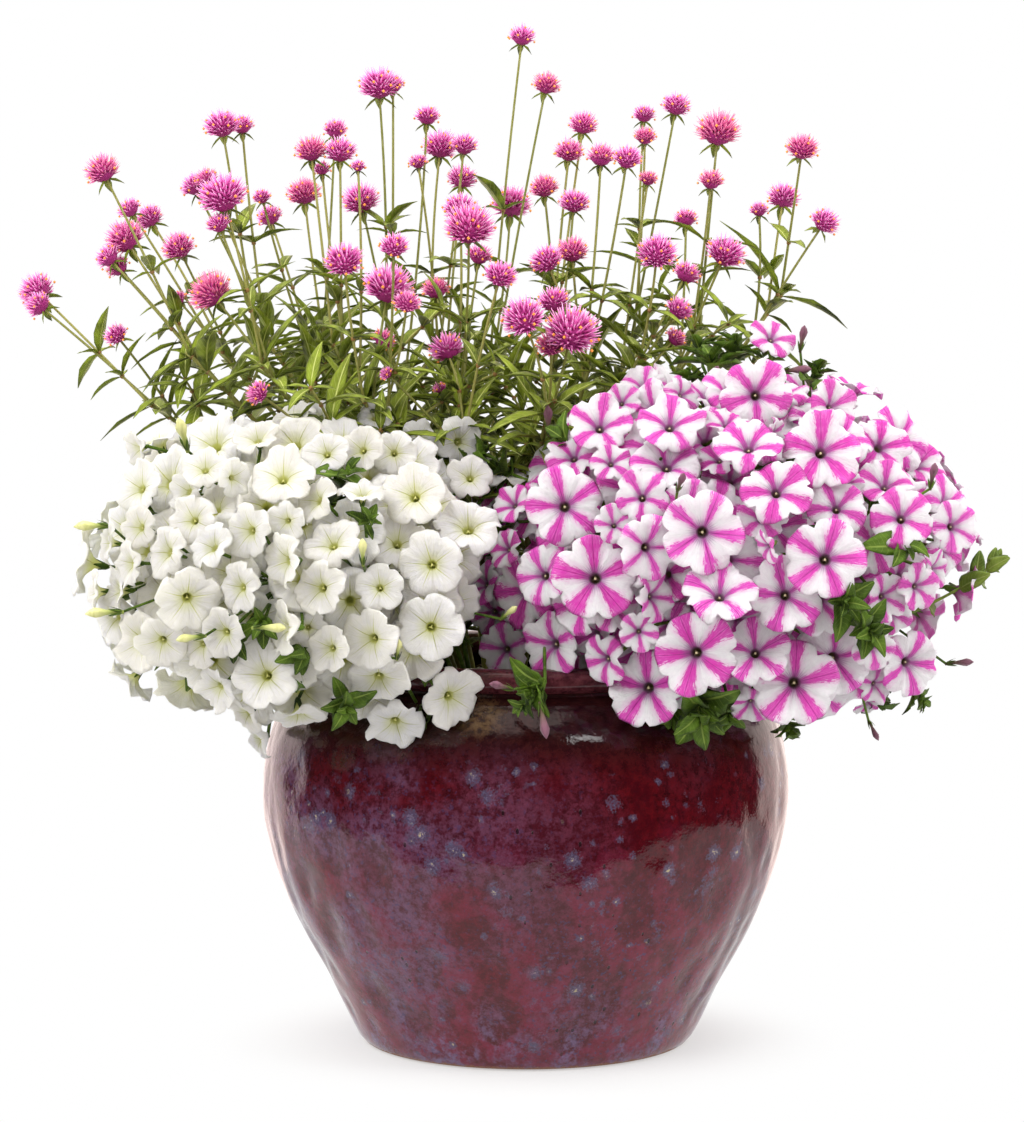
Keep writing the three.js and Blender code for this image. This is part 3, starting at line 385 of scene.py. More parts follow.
jar_outside = jar_curve(JAR_ROWS)
lip_turns = np.radians(np.linspace(*LIP_ROLL, 20))
lip = LIP_CENTRE + LIP_REACH * np.stack([np.cos(lip_turns), np.sin(lip_turns)], 1)
jar_inside = jar_curve(16)[2:-1][::-1] - (JAR_WALL, 0)
jar_profile = np.concatenate(
    [
        JAR_FOOT,
        jar_outside[2:-1],
        lip,
        jar_inside[jar_inside[:, 1] > JAR_FLOOR + 6],
        [(118, JAR_FLOOR + 3), (112, JAR_FLOOR), (60, JAR_FLOOR), (0.5, JAR_FLOOR)],
    ]
)
turns = full_turn(JAR_TURNS)
jar_skin = turned(jar_profile, turns)
wall_rows = slice(len(JAR_FOOT), len(jar_outside) + 4)
beaten = jar_skin[wall_rows]
sunk = np.zeros(beaten.shape[:2])
for number in range(DIMPLES):
    rise = BEATEN_FROM + BEATEN_OVER * (number + 0.5) / DIMPLES
    around = number * DIMPLE_TURN + DIMPLE_STRAY * chance(number, 11)
    centre = jar_radius_at(rise) * np.array([math.cos(around), math.sin(around)])
    side = np.hypot(beaten[..., 0] - centre[0], beaten[..., 1] - centre[1])
    wide = DIMPLE_WIDTH[0] + DIMPLE_WIDTH[1] * chance(number, 12)
    apart = (side / wide) ** 2 + ((beaten[..., 2] - rise) / (wide * DIMPLE_TALLER)) ** 2
    fading = 1.0 - DIMPLE_FADES[2] * max(0.0, (rise - DIMPLE_FADES[0]) / DIMPLE_FADES[1])
    sunk += DIMPLE_DEPTH * fading * (0.5 + chance(number, 13)) * np.exp(-apart)
# The wall is left true at the foot and under the lip, and is a little out of round between
angle, rise = turns[None, :], beaten[..., 2]
settle = np.clip((rise - TRUE_BELOW) / TRUE_TO_BEATEN, 0, 1)
settle = settle * np.clip((TRUE_ABOVE - rise) / TRUE_TO_BEATEN, 0, 1)
hollow = np.zeros(jar_skin.shape[:2])
hollow[wall_rows] = sunk * settle
sunk += OVAL * np.sin(2 * angle + rise / 60) + LUMPY * np.sin(5 * angle - rise / 35)
beaten[..., :2] *= (1 - (sunk * settle) / np.hypot(beaten[..., 0], beaten[..., 1]))[..., None]

jar_growth = Growth()
jar_growth.add(jar_skin, 0, hollow)

glaze = Finish("oxblood_glaze", Roughness=0.1, IOR=1.43, Coat_Weight=0.05, Coat_Roughness=0.04)
spot = glaze.place()
rise = glaze.put("ShaderNodeSeparateXYZ", {0: glaze.spot()}).outputs[2]
left = glaze.put("ShaderNodeSeparateXYZ", {0: spot}).outputs[0]
pool = glaze.span(glaze.given("reach"), 0.35, 1.25)
cloud = glaze.noise(spot, 9.0, 5.0, 0.6)
fine = glaze.noise(spot, 62.0, 5.0, 0.7)
mottle = glaze.noise(spot, 150.0, 5.0, 0.75)
grain = glaze.noise(spot, 560.0, 3.0, 0.7)
runs = glaze.noise(glaze.place((38.0, 38.0, 9.0)), 1.0, 4.0, 0.65)

# Dark glass above, warmer below, paler on the ridges and darker where it pooled in the dimples
low = glaze.span(rise, 0.19, 0.09)
glaze.colour = glaze.mix(glaze.span(mottle, 0.36, 0.64), (46, 3, 7), (80, 8, 16))
warm = glaze.mix(glaze.span(mottle, 0.3, 0.7), (70, 3, 12), (104, 13, 32))
glaze.coat(glaze.times(low, 0.9), warm)
ridge = glaze.times(
    glaze.span(pool, 0.5, 0.05), glaze.span(fine, 0.4, 0.62, 0.15, 1.0),
    glaze.span(rise, 0.22, 0.08, 0.06, 0.8),
)
glaze.coat(ridge, glaze.mix(grain, (104, 10, 34), (124, 32, 64)))
glaze.coat(
    glaze.times(glaze.span(pool, 0.2, 0.9, 0.0, 0.6), glaze.span(mottle, 0.7, 0.4)), (66, 3, 14)
)

# Blue and violet clouds on the left and in runs to the foot, with fine dots of the same
blue_side = glaze.span(left, 0.09, -0.13, 0.1, 1.0)
clouds = glaze.times(
    glaze.span(cloud, 0.4, 0.58), blue_side, glaze.span(mottle, 0.38, 0.6, 0.15, 0.9)
)
glaze.coat(clouds, (98, 70, 96))
foot = glaze.times(
    glaze.span(rise, 0.075, 0.012), glaze.span(runs, 0.42, 0.62),
    glaze.span(mottle, 0.4, 0.62, 0.0, 0.75),
)
glaze.coat(foot, (104, 96, 130))
dots = glaze.times(
    glaze.span(glaze.noise(spot, 330.0, 2.0, 0.5), 0.58, 0.68),
    glaze.math("MAXIMUM", blue_side, low), glaze.span(cloud, 0.36, 0.56, 0.15, 0.7),
)
glaze.coat(dots, (62, 54, 88))

# Crystals: a broken dark blue ring about a pale yellow grain, in two sizes
for size, fewest, most in ((38.0, 0.47, 0.56), (78.0, 0.52, 0.6)):
    cell = glaze.cells(spot, size)
    fits = glaze.span(glaze.noise(spot, size * 0.45, 2.0), fewest, most)
    ragged = glaze.plus(
        cell, glaze.span(mottle, 0.3, 0.7, -0.07, 0.07, False),
        glaze.span(grain, 0.25, 0.75, -0.14, 0.14, False),
    )
    glaze.coat(glaze.times(glaze.span(ragged, 0.3, 0.12, 0.0, 0.55), fits), (106, 104, 130))
    from_ring = glaze.math("ABSOLUTE", glaze.math("SUBTRACT", ragged, 0.15))
    glaze.coat(glaze.times(glaze.span(from_ring, 0.07, 0.02, 0.0, 0.45), fits), (30, 22, 54))
    glaze.coat(glaze.times(glaze.span(ragged, 0.05, -0.01, 0.0, 0.8), fits), (176, 162, 122))

# Painted shade in dark browns under the lip, with one painted highlight in ochre, a paler lip, pinholes
# and grain
# Painted shade: the band under the lip is darkened to dark browns, as the shade beneath the rim
under_lip_shade = glaze.span(glaze.plus(rise, glaze.times(mottle, 0.03)), 0.23, 0.27)
brown = glaze.mix(glaze.span(mottle, 0.35, 0.65), (22, 6, 8), (46, 18, 17))
# Painted highlight: one ochre patch left of the front, under the lip, stands in for a reflection
from_highlight = glaze.put(
    "ShaderNodeVectorMath", {0: spot, 1: (-0.032, -0.168, 0.262)}, operation="DISTANCE"
).outputs["Value"]
painted_highlight = glaze.times(
    glaze.span(from_highlight, 0.024, 0.006), glaze.span(mottle, 0.4, 0.6, 0.05, 0.6)
)
glaze.coat(under_lip_shade, glaze.mix(painted_highlight, brown, (112, 88, 56)))
lip_glaze = glaze.mix(glaze.span(mottle, 0.35, 0.65), (58, 20, 28), (96, 48, 54))
glaze.coat(glaze.times(glaze.span(rise, 0.2775, 0.2785), 0.9), lip_glaze)
pin = glaze.cells(glaze.place((1.0, 1.0, 0.55)), 110.0)
pinholes = glaze.times(glaze.span(pin, 0.14, 0.1), glaze.span(cloud, 0.52, 0.56))
glaze.coat(glaze.times(pinholes, 0.85), (22, 10, 14))
glaze.coat(glaze.span(grain, 0.25, 0.75, 0.0, 0.34), (34, 6, 12))
bare = glaze.span(glaze.plus(rise, glaze.times(mottle, 0.006)), 0.0062, 0.004)
glaze.coat(bare, glaze.mix(grain, (88, 52, 34), (146, 98, 64)))
gloss = glaze.plus(glaze.span(fine, 0.3, 0.7, 0.05, 0.12), glaze.times(bare, 0.6))
ripple = glaze.plus(
    glaze.noise(spot, 34.0, 4.0, 0.6), glaze.times(pinholes, -0.6), glaze.times(grain, 0.06)
)
glaze.wear(ripple, 0.0017, 0.65, Roughness=gloss)

jar = jar_growth.piece("glazed_jar", [glaze.material])
for number in range(3):
    turn = math.pi / 2 + number * 2 * math.pi / 3
    place = Vector((DRAIN_CIRCLE * math.cos(turn), DRAIN_CIRCLE * math.sin(turn), 0)) * MM
    bpy.ops.mesh.primitive_cylinder_add(
        vertices=32, radius=DRAIN_RADIUS * MM, depth=0.06, location=place
    )
    drill = bpy.context.object
    cut = jar.modifiers.new("drain", "BOOLEAN")
    cut.operation = "DIFFERENCE"
    cut.solver = "EXACT"
    cut.object = drill
    bpy.context.view_layer.update()
    shown = jar.evaluated_get(bpy.context.evaluated_depsgraph_get())
    drilled = bpy.data.meshes.new_from_object(shown)
    jar.modifiers.clear()
    jar.data = drilled
    bpy.data.objects.remove(drill)
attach(jar, "root")
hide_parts("pot")


# The soil: damp potting mix, crumbly, with bark and a few white grains of perlite, filling
# the jar to a finger's width below its lip and heaped a little in the middle.
SOIL_HEIGHT = 268.0
SOIL_CROWN = 5.0
SOIL_EDGE_DROP = 4.0
SOIL_ROUGHNESS = 2.4
SOIL_CRUMBS = 200
# The least size, and how much larger the largest is
CRUMB_SIZE = (1.6, 3.2)
PERLITE_FROM = 0.93


def soil_rise(share):
    """The height of the soil's top, at a share of the way out to its edge."""
    return SOIL_HEIGHT - SOIL_EDGE_DROP + (SOIL_EDGE_DROP + SOIL_CROWN) * (1 - share**2)


soil_growth = Growth()
soil_inside = jar_curve(24)[1:-1] - (JAR_WALL + 0.5, 0)
within = (soil_inside[:, 1] > JAR_FLOOR + 4) & (soil_inside[:, 1] < SOIL_HEIGHT - 8)
soil_inside = soil_inside[within]
soil_edge = jar_radius_at(SOIL_HEIGHT - SOIL_EDGE_DROP) - JAR_WALL - 3
share = np.linspace(1, 0.004, 18)
soil_top = np.stack([soil_edge * share, soil_rise(share)], 1)
soil_profile = np.concatenate(
    [[(0.5, JAR_FLOOR + 0.5), (108, JAR_FLOOR + 0.5)], soil_inside, soil_top]
)
soil_skin = turned(soil_profile, full_turn(100))
top_rows = slice(len(soil_profile) - 17, len(soil_profile) - 1)
soil_skin[top_rows, :, 2] += SOIL_ROUGHNESS * (chance(np.arange(1600).reshape(16, 100), 3) - 0.5)
soil_growth.add(soil_skin, 0)


def ball(centre, radius, rows=4, around=6):
    """A small ball as rings of points, from its bottom to its top."""
    rise = np.linspace(-0.5, 0.5, rows) * math.pi * 0.97
    turn = full_turn(around)
    ring = np.stack(
        [
            np.cos(rise)[:, None] * np.cos(turn),
            np.cos(rise)[:, None] * np.sin(turn),
            np.sin(rise)[:, None] + 0 * turn,
        ],
        -1,
    )
    return np.asarray(centre) + radius * ring


for number in range(SOIL_CRUMBS):
    far = soil_edge * 0.97 * math.sqrt(chance(number, 21))
    turn = 2 * math.pi * chance(number, 22)
    rise = soil_rise(far / soil_edge)
    size = CRUMB_SIZE[0] + CRUMB_SIZE[1] * chance(number, 23)
    lump = ball((0, 0, 0), size, 4, 6) * (1.0, 0.7 + 0.3 * chance(number, 24), 0.6)
    uneven = chance(np.arange(24).reshape(4, 6) + number * 31, 25)[..., None] - 0.5
    lump = lump * (1 + 0.3 * uneven)
    lump = lump + (far * math.cos(turn), far * math.sin(turn), rise + 0.6)
    soil_growth.add(lump, 1 if chance(number, 26) > PERLITE_FROM else 0)

mix = Finish("potting_mix", Roughness=0.95)
crumb = mix.noise(mix.place(), 190.0, 4.0, 0.7)
mix.colour = mix.mix(mix.span(crumb, 0.35, 0.7), (38, 27, 20), (86, 64, 46))
mix.wear(crumb, 0.002, 0.8)
perlite = Finish("perlite", Roughness=0.8)
pores = perlite.noise(perlite.place(), 700.0, 3.0)
perlite.colour = perlite.mix(pores, (188, 184, 172), (232, 230, 222))
perlite.wear(pores, 0.0006, 0.7)
soil = soil_growth.piece("potting_soil", [mix.material, perlite.material])
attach(soil, "root")
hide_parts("soil")


# The petunias' blooms: soft funnels of five fused petals, each on a hairy stalk that joins
# the nearest stem. A bloom is placed by its middle across and down the view, its radius, and
# how far it is turned to the right and up, then set back until it clears those before it.
MM_PER_POINT = 0.75
WHITE_MOUND = {
    "centre": np.array([-160.0, -80.0, 350.0]),
    "half": np.array([165.0, 165.0, 120.0]),
    "patch": np.array([-58.0, -40.0, SOIL_HEIGHT]),
}
STRIPED_MOUND = {
    "centre": np.array([152.0, -78.0, 372.0]),
    "half": np.array([176.0, 168.0, 130.0]),
    "patch": np.array([60.0, -40.0, SOIL_HEIGHT]),
}
WHITE_BLOOMS = [
    (431, 628, 34, 0, 0), (431, 564, 33, -5, 10), (413, 494, 33, -12, 25), (188, 600, 33, 12, -12),
    (369, 640, 32, -28, -5), (453, 698, 31, 30, -8), (264, 675, 34, -15, 10), (282, 475, 33, -5, 38),
    (319, 588, 28, -25, 5), (468, 524, 35, 0, 45), (331, 541, 30, -20, 42), (247, 531, 28, -35, 0),
    (380, 587, 25, 0, 15), (137, 487, 27, -35, 20), (314, 499, 26, -50, 20), (397, 541, 30, 0, 30),
    (378, 682, 32, -5, -35), (395, 726, 30, 0, -35), (299, 721, 31, 10, -65), (362, 490, 24, 0, 68),
    (164, 551, 28, -50, 15), (161, 643, 27, -10, -20), (282, 561, 29, -55, 0), (210, 545, 25, -40, 30),
    (291, 414, 25, -40, 55), (361, 449, 24, -20, 20), (326, 452, 24, -10, 30), (394, 452, 23, 0, 15),
    (461, 441, 26, 30, 10), (501, 468, 28, 40, 60), (282, 628, 29, -68, 0), (222, 634, 27, -30, -10),
    (329, 649, 24, -30, 0), (470, 476, 24, 0, 30), (204, 467, 24, -10, 40), (421, 438, 20, 20, 25),
    (238, 588, 26, -40, 0), (192, 519, 26, -20, 20), (198, 646, 24, -35, -10), (135, 450, 20, -60, -15),
    (137, 527, 24, -40, 10), (216, 689, 24, -40, -20), (127, 564, 24, -60, 0), (115, 591, 26, -68, 0),
    (244, 717, 22, -50, -30), (256, 436, 24, -20, 50), (235, 478, 20, 40, 0), (308, 628, 20, 0, 0),
    (185, 490, 22, -40, 20), (92, 592, 25, -78, 0), (106, 542, 22, -72, 10), (286, 521, 20, -20, 0),
    (323, 417, 22, 20, 40), (256, 742, 20, -60, -20), (207, 432, 20, -20, 30), (375, 416, 18, 10, 40),
]
STRIPED_BLOOMS = [
    (703, 533, 42, 0, 0), (565, 506, 39, 0, 8), (595, 578, 42, -3, 8), (795, 683, 43, 0, 5),
    (826, 559, 41, 0, 8), (695, 654, 42, -10, 0), (786, 594, 38, 0, 12), (823, 450, 39, 8, 20),
    (646, 689, 39, -15, 0), (836, 660, 41, 10, -5), (756, 394, 36, 0, 10), (756, 650, 35, 0, 25),
    (549, 645, 34, -40, 0), (720, 590, 37, 0, 45), (777, 489, 35, 0, 30), (600, 424, 32, 0, 35),
    (670, 422, 34, 0, 40), (649, 548, 33, 20, 0), (642, 496, 28, -5, 20), (667, 461, 36, 0, 45),
    (837, 506, 31, 0, 30), (902, 517, 32, 0, 20), (748, 443, 35, -10, 50), (504, 650, 26, -20, 0),
    (602, 661, 27, -45, -10), (876, 543, 30, 25, 0), (955, 526, 28, 25, 10), (911, 664, 33, 25, -5),
    (541, 575, 31, -30, 10), (572, 454, 28, -20, 40), (886, 482, 30, 5, 45), (834, 405, 26, 30, 20),
    (762, 517, 26, 0, 30), (481, 583, 24, -50, 20), (919, 587, 24, 30, 0), (656, 597, 26, 45, 0),
    (611, 461, 22, 0, 35), (727, 422, 22, 10, 50), (718, 457, 22, -20, 40), (511, 503, 22, -40, 30),
    (504, 548, 22, -50, 20), (886, 597, 24, 30, 0), (614, 608, 24, 0, 10), (639, 632, 20, 0, 0),
    (765, 548, 18, -60, -20), (492, 615, 24, -20, -20), (614, 524, 20, 0, 20), (874, 647, 24, 20, 0),
    (751, 706, 22, 0, -40), (895, 615, 22, 30, -10), (869, 706, 17, 30, -50), (877, 685, 20, 30, -10),
    (644, 384, 24, 0, 40), (684, 394, 20, 40, 20), (773, 336, 24, 20, 40), (621, 401, 20, -10, 30),
    (937, 569, 19, 50, 0), (849, 482, 18, 20, 20), (777, 433, 16, 60, 0),
]
TUBE_LENGTH = 0.8
BLOOM_TWIST = 1.2
BLOOM_GAP = 2.0
BLOOM_STEP = 3.0
FURTHEST_BACK = 75.0
FUNNEL_SLOPE = 0.55
WALL_GAP = 26.0
RIM_GAP = 8.0
HIDDEN_RADIUS = 22.0
HIDDEN_SPACING = 50.0
HIDDEN_TRIES = 90
HIDDEN_LOWEST = 262.0
HIDDEN_NEAREST = 175.0
HIDDEN_ASIDE = 40.0
UP = np.array([0.0, 0.0, 1.0])


def unit(vector):
    return vector / np.linalg.norm(vector, axis=-1, keepdims=True)


def sight_line(px, py):
    """The direction of the line of sight through a place in the view."""
    along = (px - PICTURE_WIDTH / 2) / PICTURE_FOCAL
    down = (py - PICTURE_HEIGHT / 2) / PICTURE_FOCAL
    ahead = math.cos(EYE_PITCH) - down * math.sin(EYE_PITCH)
    drop = math.sin(EYE_PITCH) + down * math.cos(EYE_PITCH)
    return np.array([along / ahead, 1.0, -drop / ahead])


def seen_at(px, py, depth):
    """The point on that line that lies this far behind the jar's axis."""
    return EYE + sight_line(px, py) * (depth - EYE[1])


def frame_of(direction, reference=UP):
    """Two directions square to one, the first as close to the reference as it can be."""
    out = reference - direction * (direction * reference).sum(-1, keepdims=True)
    out = unit(out)
    return out, np.cross(direction, out)


def circled(out, side, turn):
    """Directions at these angles round a line, from two that are square to it."""
    return out * np.cos(turn) + side * np.sin(turn)


def depth_on(mound, px, py):
    """How far behind the jar's axis the line of sight meets the front of a mound."""
    line = sight_line(px, py) / mound["half"]
    start = (EYE - mound["centre"]) / mound["half"]
    a, b, c = line @ line, start @ line, start @ start - 1
    return (-b - math.sqrt(max(0.0, b * b - a * c))) / a + EYE[1]


def facing_of(turn, lift):
    """The way that something faces, turned from the front to the right and up, in degrees."""
    yaw, pitch = math.radians(turn), math.radians(lift)
    return np.array(
        [math.sin(yaw) * math.cos(pitch), -math.cos(yaw) * math.cos(pitch), math.sin(pitch)]
    )


def new_bloom(index, far, facing, luck, radius, centre):
    """What is known of a bloom; one that is far has fewer points in its petals."""
    twist = (luck - 0.5) * BLOOM_TWIST
    return {
        "index": index, "far": far, "facing": facing, "twist": twist, "radius": radius,
        "centre": centre,
    }


def probes_of(bloom):
    """Points on a bloom's edge and down its tube."""
    out, side = frame_of(bloom["facing"], np.array([0.3, 0.2, 1.0]))
    edge = bloom["centre"] + bloom["radius"] * circled(out, side, full_turn(12)[:, None])
    steps = np.array([0, TUBE_LENGTH / 2, TUBE_LENGTH])[:, None]
    return np.concatenate([edge, bloom["centre"] - steps * bloom["radius"] * bloom["facing"]])


def cuts(probes, other):
    """Whether some points lie before a bloom's funnel and some behind its mouth."""
    offset = probes - other["centre"]
    rise = offset @ other["facing"]
    far = np.linalg.norm(offset - rise[:, None] * other["facing"], axis=1)
    inside = far < other["radius"]
    before = rise > -FUNNEL_SLOPE * (other["radius"] - far) - BLOOM_GAP
    return bool((inside & before).any() and (inside & (rise < BLOOM_GAP)).any())


def crosses(one, other):
    """Whether two blooms cut through each other."""
    apart = np.linalg.norm(one["centre"] - other["centre"])
    if apart > one["radius"] + other["radius"] + 2 * BLOOM_GAP:
        return False
    return cuts(probes_of(one), other) or cuts(probes_of(other), one)


def in_the_wall(centre):
    """Whether a bloom here would touch the jar."""
    beside = math.hypot(centre[0], centre[1]) < jar_radius_at(centre[2]) + WALL_GAP
    return beside and centre[2] < JAR_HEIGHT + RIM_GAP


def front_blooms(places, mound, taken):
    """The blooms that the camera sees in full, each just clear of those placed before it."""
    found = []
    for index, (px, py, width, turn, lift) in enumerate(places):
        depth = depth_on(mound, px, py)
        radius = width * MM_PER_POINT * (1 - depth / EYE[1])
        centre = seen_at(px, py, depth)
        bloom = new_bloom(index, False, facing_of(turn, lift), chance(index, 1), radius, centre)
        while in_the_wall(bloom["centre"]):
            depth -= BLOOM_STEP
            bloom["centre"] = seen_at(px, py, depth)
        furthest = depth + FURTHEST_BACK
        while depth < furthest and any(crosses(bloom, other) for other in taken):
            depth += BLOOM_STEP
            bloom["centre"] = seen_at(px, py, depth)
        if depth >= furthest:
            bloom["centre"] = seen_at(px, py, furthest - FURTHEST_BACK + BLOOM_STEP)
        taken.append(bloom)
        found.append(bloom)
    return found


def all_round(count):
    """Directions spread evenly over a ball, from its top to its bottom."""
    height = 1 - 2 * (np.arange(count) + 0.5) / count
    turn = np.arange(count) * math.pi * (3 - math.sqrt(5))
    flat = np.sqrt(1 - height**2)
    return np.stack([np.cos(turn) * flat, np.sin(turn) * flat, height], 1)


def back_blooms(mound, taken, first, side):
    """Blooms on the hidden faces of a mound: its back, its top and its outer side."""
    found = []
    for index, out in enumerate(all_round(HIDDEN_TRIES)):
        centre = out * mound["half"] + mound["centre"]
        facing = unit(out / mound["half"])
        radius = HIDDEN_RADIUS * (0.9 + 0.25 * chance(index, 5))
        bloom = new_bloom(first + index, True, facing, chance(index, 2), radius, centre)
        away = facing[1] > -0.1 and facing[2] < 0.8 and facing[0] * side > -0.35
        outside = centre[2] > HIDDEN_LOWEST and math.hypot(*centre[:2]) > HIDDEN_NEAREST
        near = any(np.linalg.norm(o["centre"] - centre) < HIDDEN_SPACING for o in taken)
        if away and outside and centre[0] * side > HIDDEN_ASIDE and not near:
            if not any(crosses(bloom, other) for other in taken):
                taken.append(bloom)
                found.append(bloom)
    return found


taken = []
white_front = front_blooms(WHITE_BLOOMS, WHITE_MOUND, taken)
striped_front = front_blooms(STRIPED_BLOOMS, STRIPED_MOUND, taken)
white_flowers = white_front + back_blooms(WHITE_MOUND, taken, 100, -1)
striped_flowers = striped_front + back_blooms(STRIPED_MOUND, taken, 300, 1)

# Between the blooms of the front stand others a little deeper in the mound, younger and
# looser, so that it is closed: places on a grid across the view that no bloom covers.
FILL_STEP = 23.0
FILL_DEEPER = 14.0
FILL_FURTHEST = 66.0
FILL_COVER = 0.62
WHITE_FILL = [
    (92, 560, 120, 640), (118, 440, 480, 520), (110, 520, 462, 600), (120, 600, 440, 650),
    (200, 650, 420, 700), (150, 415, 440, 450),
]
STRIPED_FILL = [
    (600, 380, 860, 440), (540, 430, 930, 500), (480, 500, 955, 560), (480, 560, 905, 660),
    (500, 650, 900, 700),
]
# The least radius, and how much larger the largest is
FILL_RADIUS = (20.0, 6.0)
FILL_STRAY = 0.7
FILL_LOOSE = 0.7
FILL_TO_FRONT = np.array([0.0, -0.35, 0.0])
FILL_ROWS = 40


def in_view(point):
    """Where the camera sees a point, across and down the picture."""
    ahead = point - EYE
    tilt = math.atan2(ahead[2], ahead[1]) + EYE_PITCH
    across = ahead[0] / ahead[1] * PICTURE_FOCAL + PICTURE_WIDTH / 2
    return across, PICTURE_HEIGHT / 2 - PICTURE_FOCAL * math.tan(tilt)


def is_covered(px, py, flowers):
    """Whether one of the blooms hides this place in the view."""
    for other in flowers:
        x, y = in_view(other["centre"])
        size = other["radius"] / MM_PER_POINT * abs(other["facing"][1]) ** 0.5
        if math.hypot(px - x, py - y) < FILL_COVER * size:
            return True
    return False


def fill_blooms(mound, zones, flowers, taken, first):
    """The blooms behind those of the front, kept where they clear all that are in place."""
    found = []
    cells = set()
    for zone in zones:
        x0, y0, x1, y1 = (int(edge / FILL_STEP) + 1 for edge in zone)
        cells.update((column, row) for column in range(x0, x1) for row in range(y0, y1))
    for column, row in sorted(cells):
        index = first + column * FILL_ROWS + row
        px = (column + FILL_STRAY * (chance(index, 41) - 0.5)) * FILL_STEP
        py = (row + FILL_STRAY * (chance(index, 42) - 0.5)) * FILL_STEP
        if is_covered(px, py, flowers):
            continue
        depth = depth_on(mound, px, py) + FILL_DEEPER
        centre = seen_at(px, py, depth)
        outward = unit((centre - mound["centre"]) / mound["half"]) + FILL_TO_FRONT
        stray = np.array([chance(index, draw) for draw in (43, 44, 45)]) - 0.5
        outward = outward + FILL_LOOSE * stray
        radius = FILL_RADIUS[0] + FILL_RADIUS[1] * chance(index, 47)
        bloom = new_bloom(index, True, unit(outward), chance(index, 46), radius, centre)
        furthest = depth + FILL_FURTHEST
        while depth < furthest and (
            in_the_wall(bloom["centre"]) or any(crosses(bloom, other) for other in taken)
        ):
            depth += BLOOM_STEP
            bloom["centre"] = seen_at(px, py, depth)
        if depth < furthest:
            taken.append(bloom)
            found.append(bloom)
    return found


white_flowers += fill_blooms(WHITE_MOUND, WHITE_FILL, white_front, taken, 1000)
striped_flowers += fill_blooms(STRIPED_MOUND, STRIPED_FILL, striped_front, taken, 4000)

# Along the petal from the bottom of the throat to the rim: how far from the axis in shares of
# the radius, and how far in front of the mouth for a flat bloom and for a trumpet
PETAL_RISE = np.array(
    [
        (0.045, -0.64, -0.68), (0.08, -0.48, -0.56), (0.11, -0.33, -0.46), (0.145, -0.22, -0.38),
        (0.19, -0.145, -0.31), (0.25, -0.095, -0.245), (0.33, -0.06, -0.18), (0.43, -0.035, -0.12),
        (0.54, -0.015, -0.075), (0.65, -0.002, -0.04), (0.76, 0.004, -0.015), (0.86, 0.0, 0.0),
        (0.94, -0.012, 0.004), (1.0, -0.03, -0.004),
    ]
)
# The same places on the outside of the bloom, from the rim down to the neck
PETAL_BACK = (0.985, 0.87, 0.71, 0.54, 0.39, 0.28, 0.21, 0.165, 0.135)
PETAL_SKIN = 0.02
PETAL_NECK = ((0.1, -0.64), (0.085, -0.73), (0.06, -0.8))
# The calyx from its foot up to its points and back inside, in shares of the bloom's radius:
# how high and how wide, and how much higher and wider at its five points
CALYX = np.array(
    [
        (-0.02, 0.05, 0, 0), (0.06, 0.1, 0, 0), (0.17, 0.12, 0, 0), (0.2, 0.13, 0.3, 0.07),
        (0.1, 0.08, 0, 0),
    ]
)
# Waves in the height of the rim: how deep, how many round the bloom, and the draw that turns it
RUFFLES = ((0.05, 5, 3), (0.04, 8, 5), (0.035, 3, 6), (0.022, 15, 7))
NOTCH_DEPTH = 0.15
NOTCH_WIDTH = 0.16
LOBE_FALL = 0.05
CREASE_DEPTH = 0.045
CREASE_WIDTH = 0.16
SEAM_RISE = 0.055
SEAM_WIDTH = 0.18
PLEAT_DEPTH = 0.026
PETAL_SWAY = 0.2
PETAL_CURL = 0.16
# Waves in the rim's own outline: how deep, how many, how far turned by luck, and by which draw
RIM_WAVERS = ((0.02, 2, 6, 0), (0.012, 13, 9, 4))
# The share of trumpet in every bloom, what luck adds and what being seen from the side adds
TRUMPETS = (0.1, 0.35, 0.55)
ANTHERS = 4
ANTHER_SIZE = 0.024
PISTIL_SIZE = 0.036
LARGE_BLOOM = 23.0
FACES_FRONT = -0.7
STEPS_ON_A_PETAL = 10
STEPS_ON_A_TURNED_PETAL = 8
STEPS_ON_A_FAR_PETAL = 6
# A blade cut across, from its left edge over the keeled midrib and back below
LEAF_SECTION = np.array([(-1, 0), (-0.5, 0.05), (0, -0.14), (0.5, 0.05), (1, 0), (0, -0.26)])
GREEN, PETAL, BUD, HEART = 0, 1, 2, 3


def blades(
    growth, paint, root, along, face, length, width, droop,
    rows=6, arch=0.18, sweep=0.0, belly=0.8, point=1.0, petiole=0.0, fold=0.25, wave=0.1, luck=0.5,
):
    """Leaves or sepals: rings along a midrib that sets out one way and sags off its face."""
    root, along, face = np.broadcast_arrays(*np.atleast_2d(root, along, face))
    length, width, droop, sweep, luck = (
        np.broadcast_to(v, len(root))[:, None, None] for v in (length, width, droop, sweep, luck)
    )
    step = np.linspace(0, 1, rows)[None, :, None]
    along = unit(along)
    side = unit(np.cross(along, face))
    face = np.cross(side, along)
    middle = root[:, None] + along[:, None] * length * step
    middle = middle + face[:, None] * length * (arch * step * (1 - step) - droop * step**2)
    middle = middle + side[:, None] * length * sweep * step**2
    swell = np.clip(np.sin(math.pi * np.clip(step, 0.012, 0.985) ** belly), 0, 1)
    half = np.where(step < petiole, width * 0.05, width / 2 * (swell**point * 0.97 + 0.03))
    x, y = LEAF_SECTION.T
    lift = y + fold * np.abs(x) + wave * np.sin(step * 13 + luck * 40 + x * 1.5) * np.abs(x)
    rings = middle[:, :, None] + side[:, None, None] * (half * x)[..., None]
    rings = rings + face[:, None, None] * (half * lift)[..., None]
    growth.add(rings, paint, step, np.abs(x), luck)


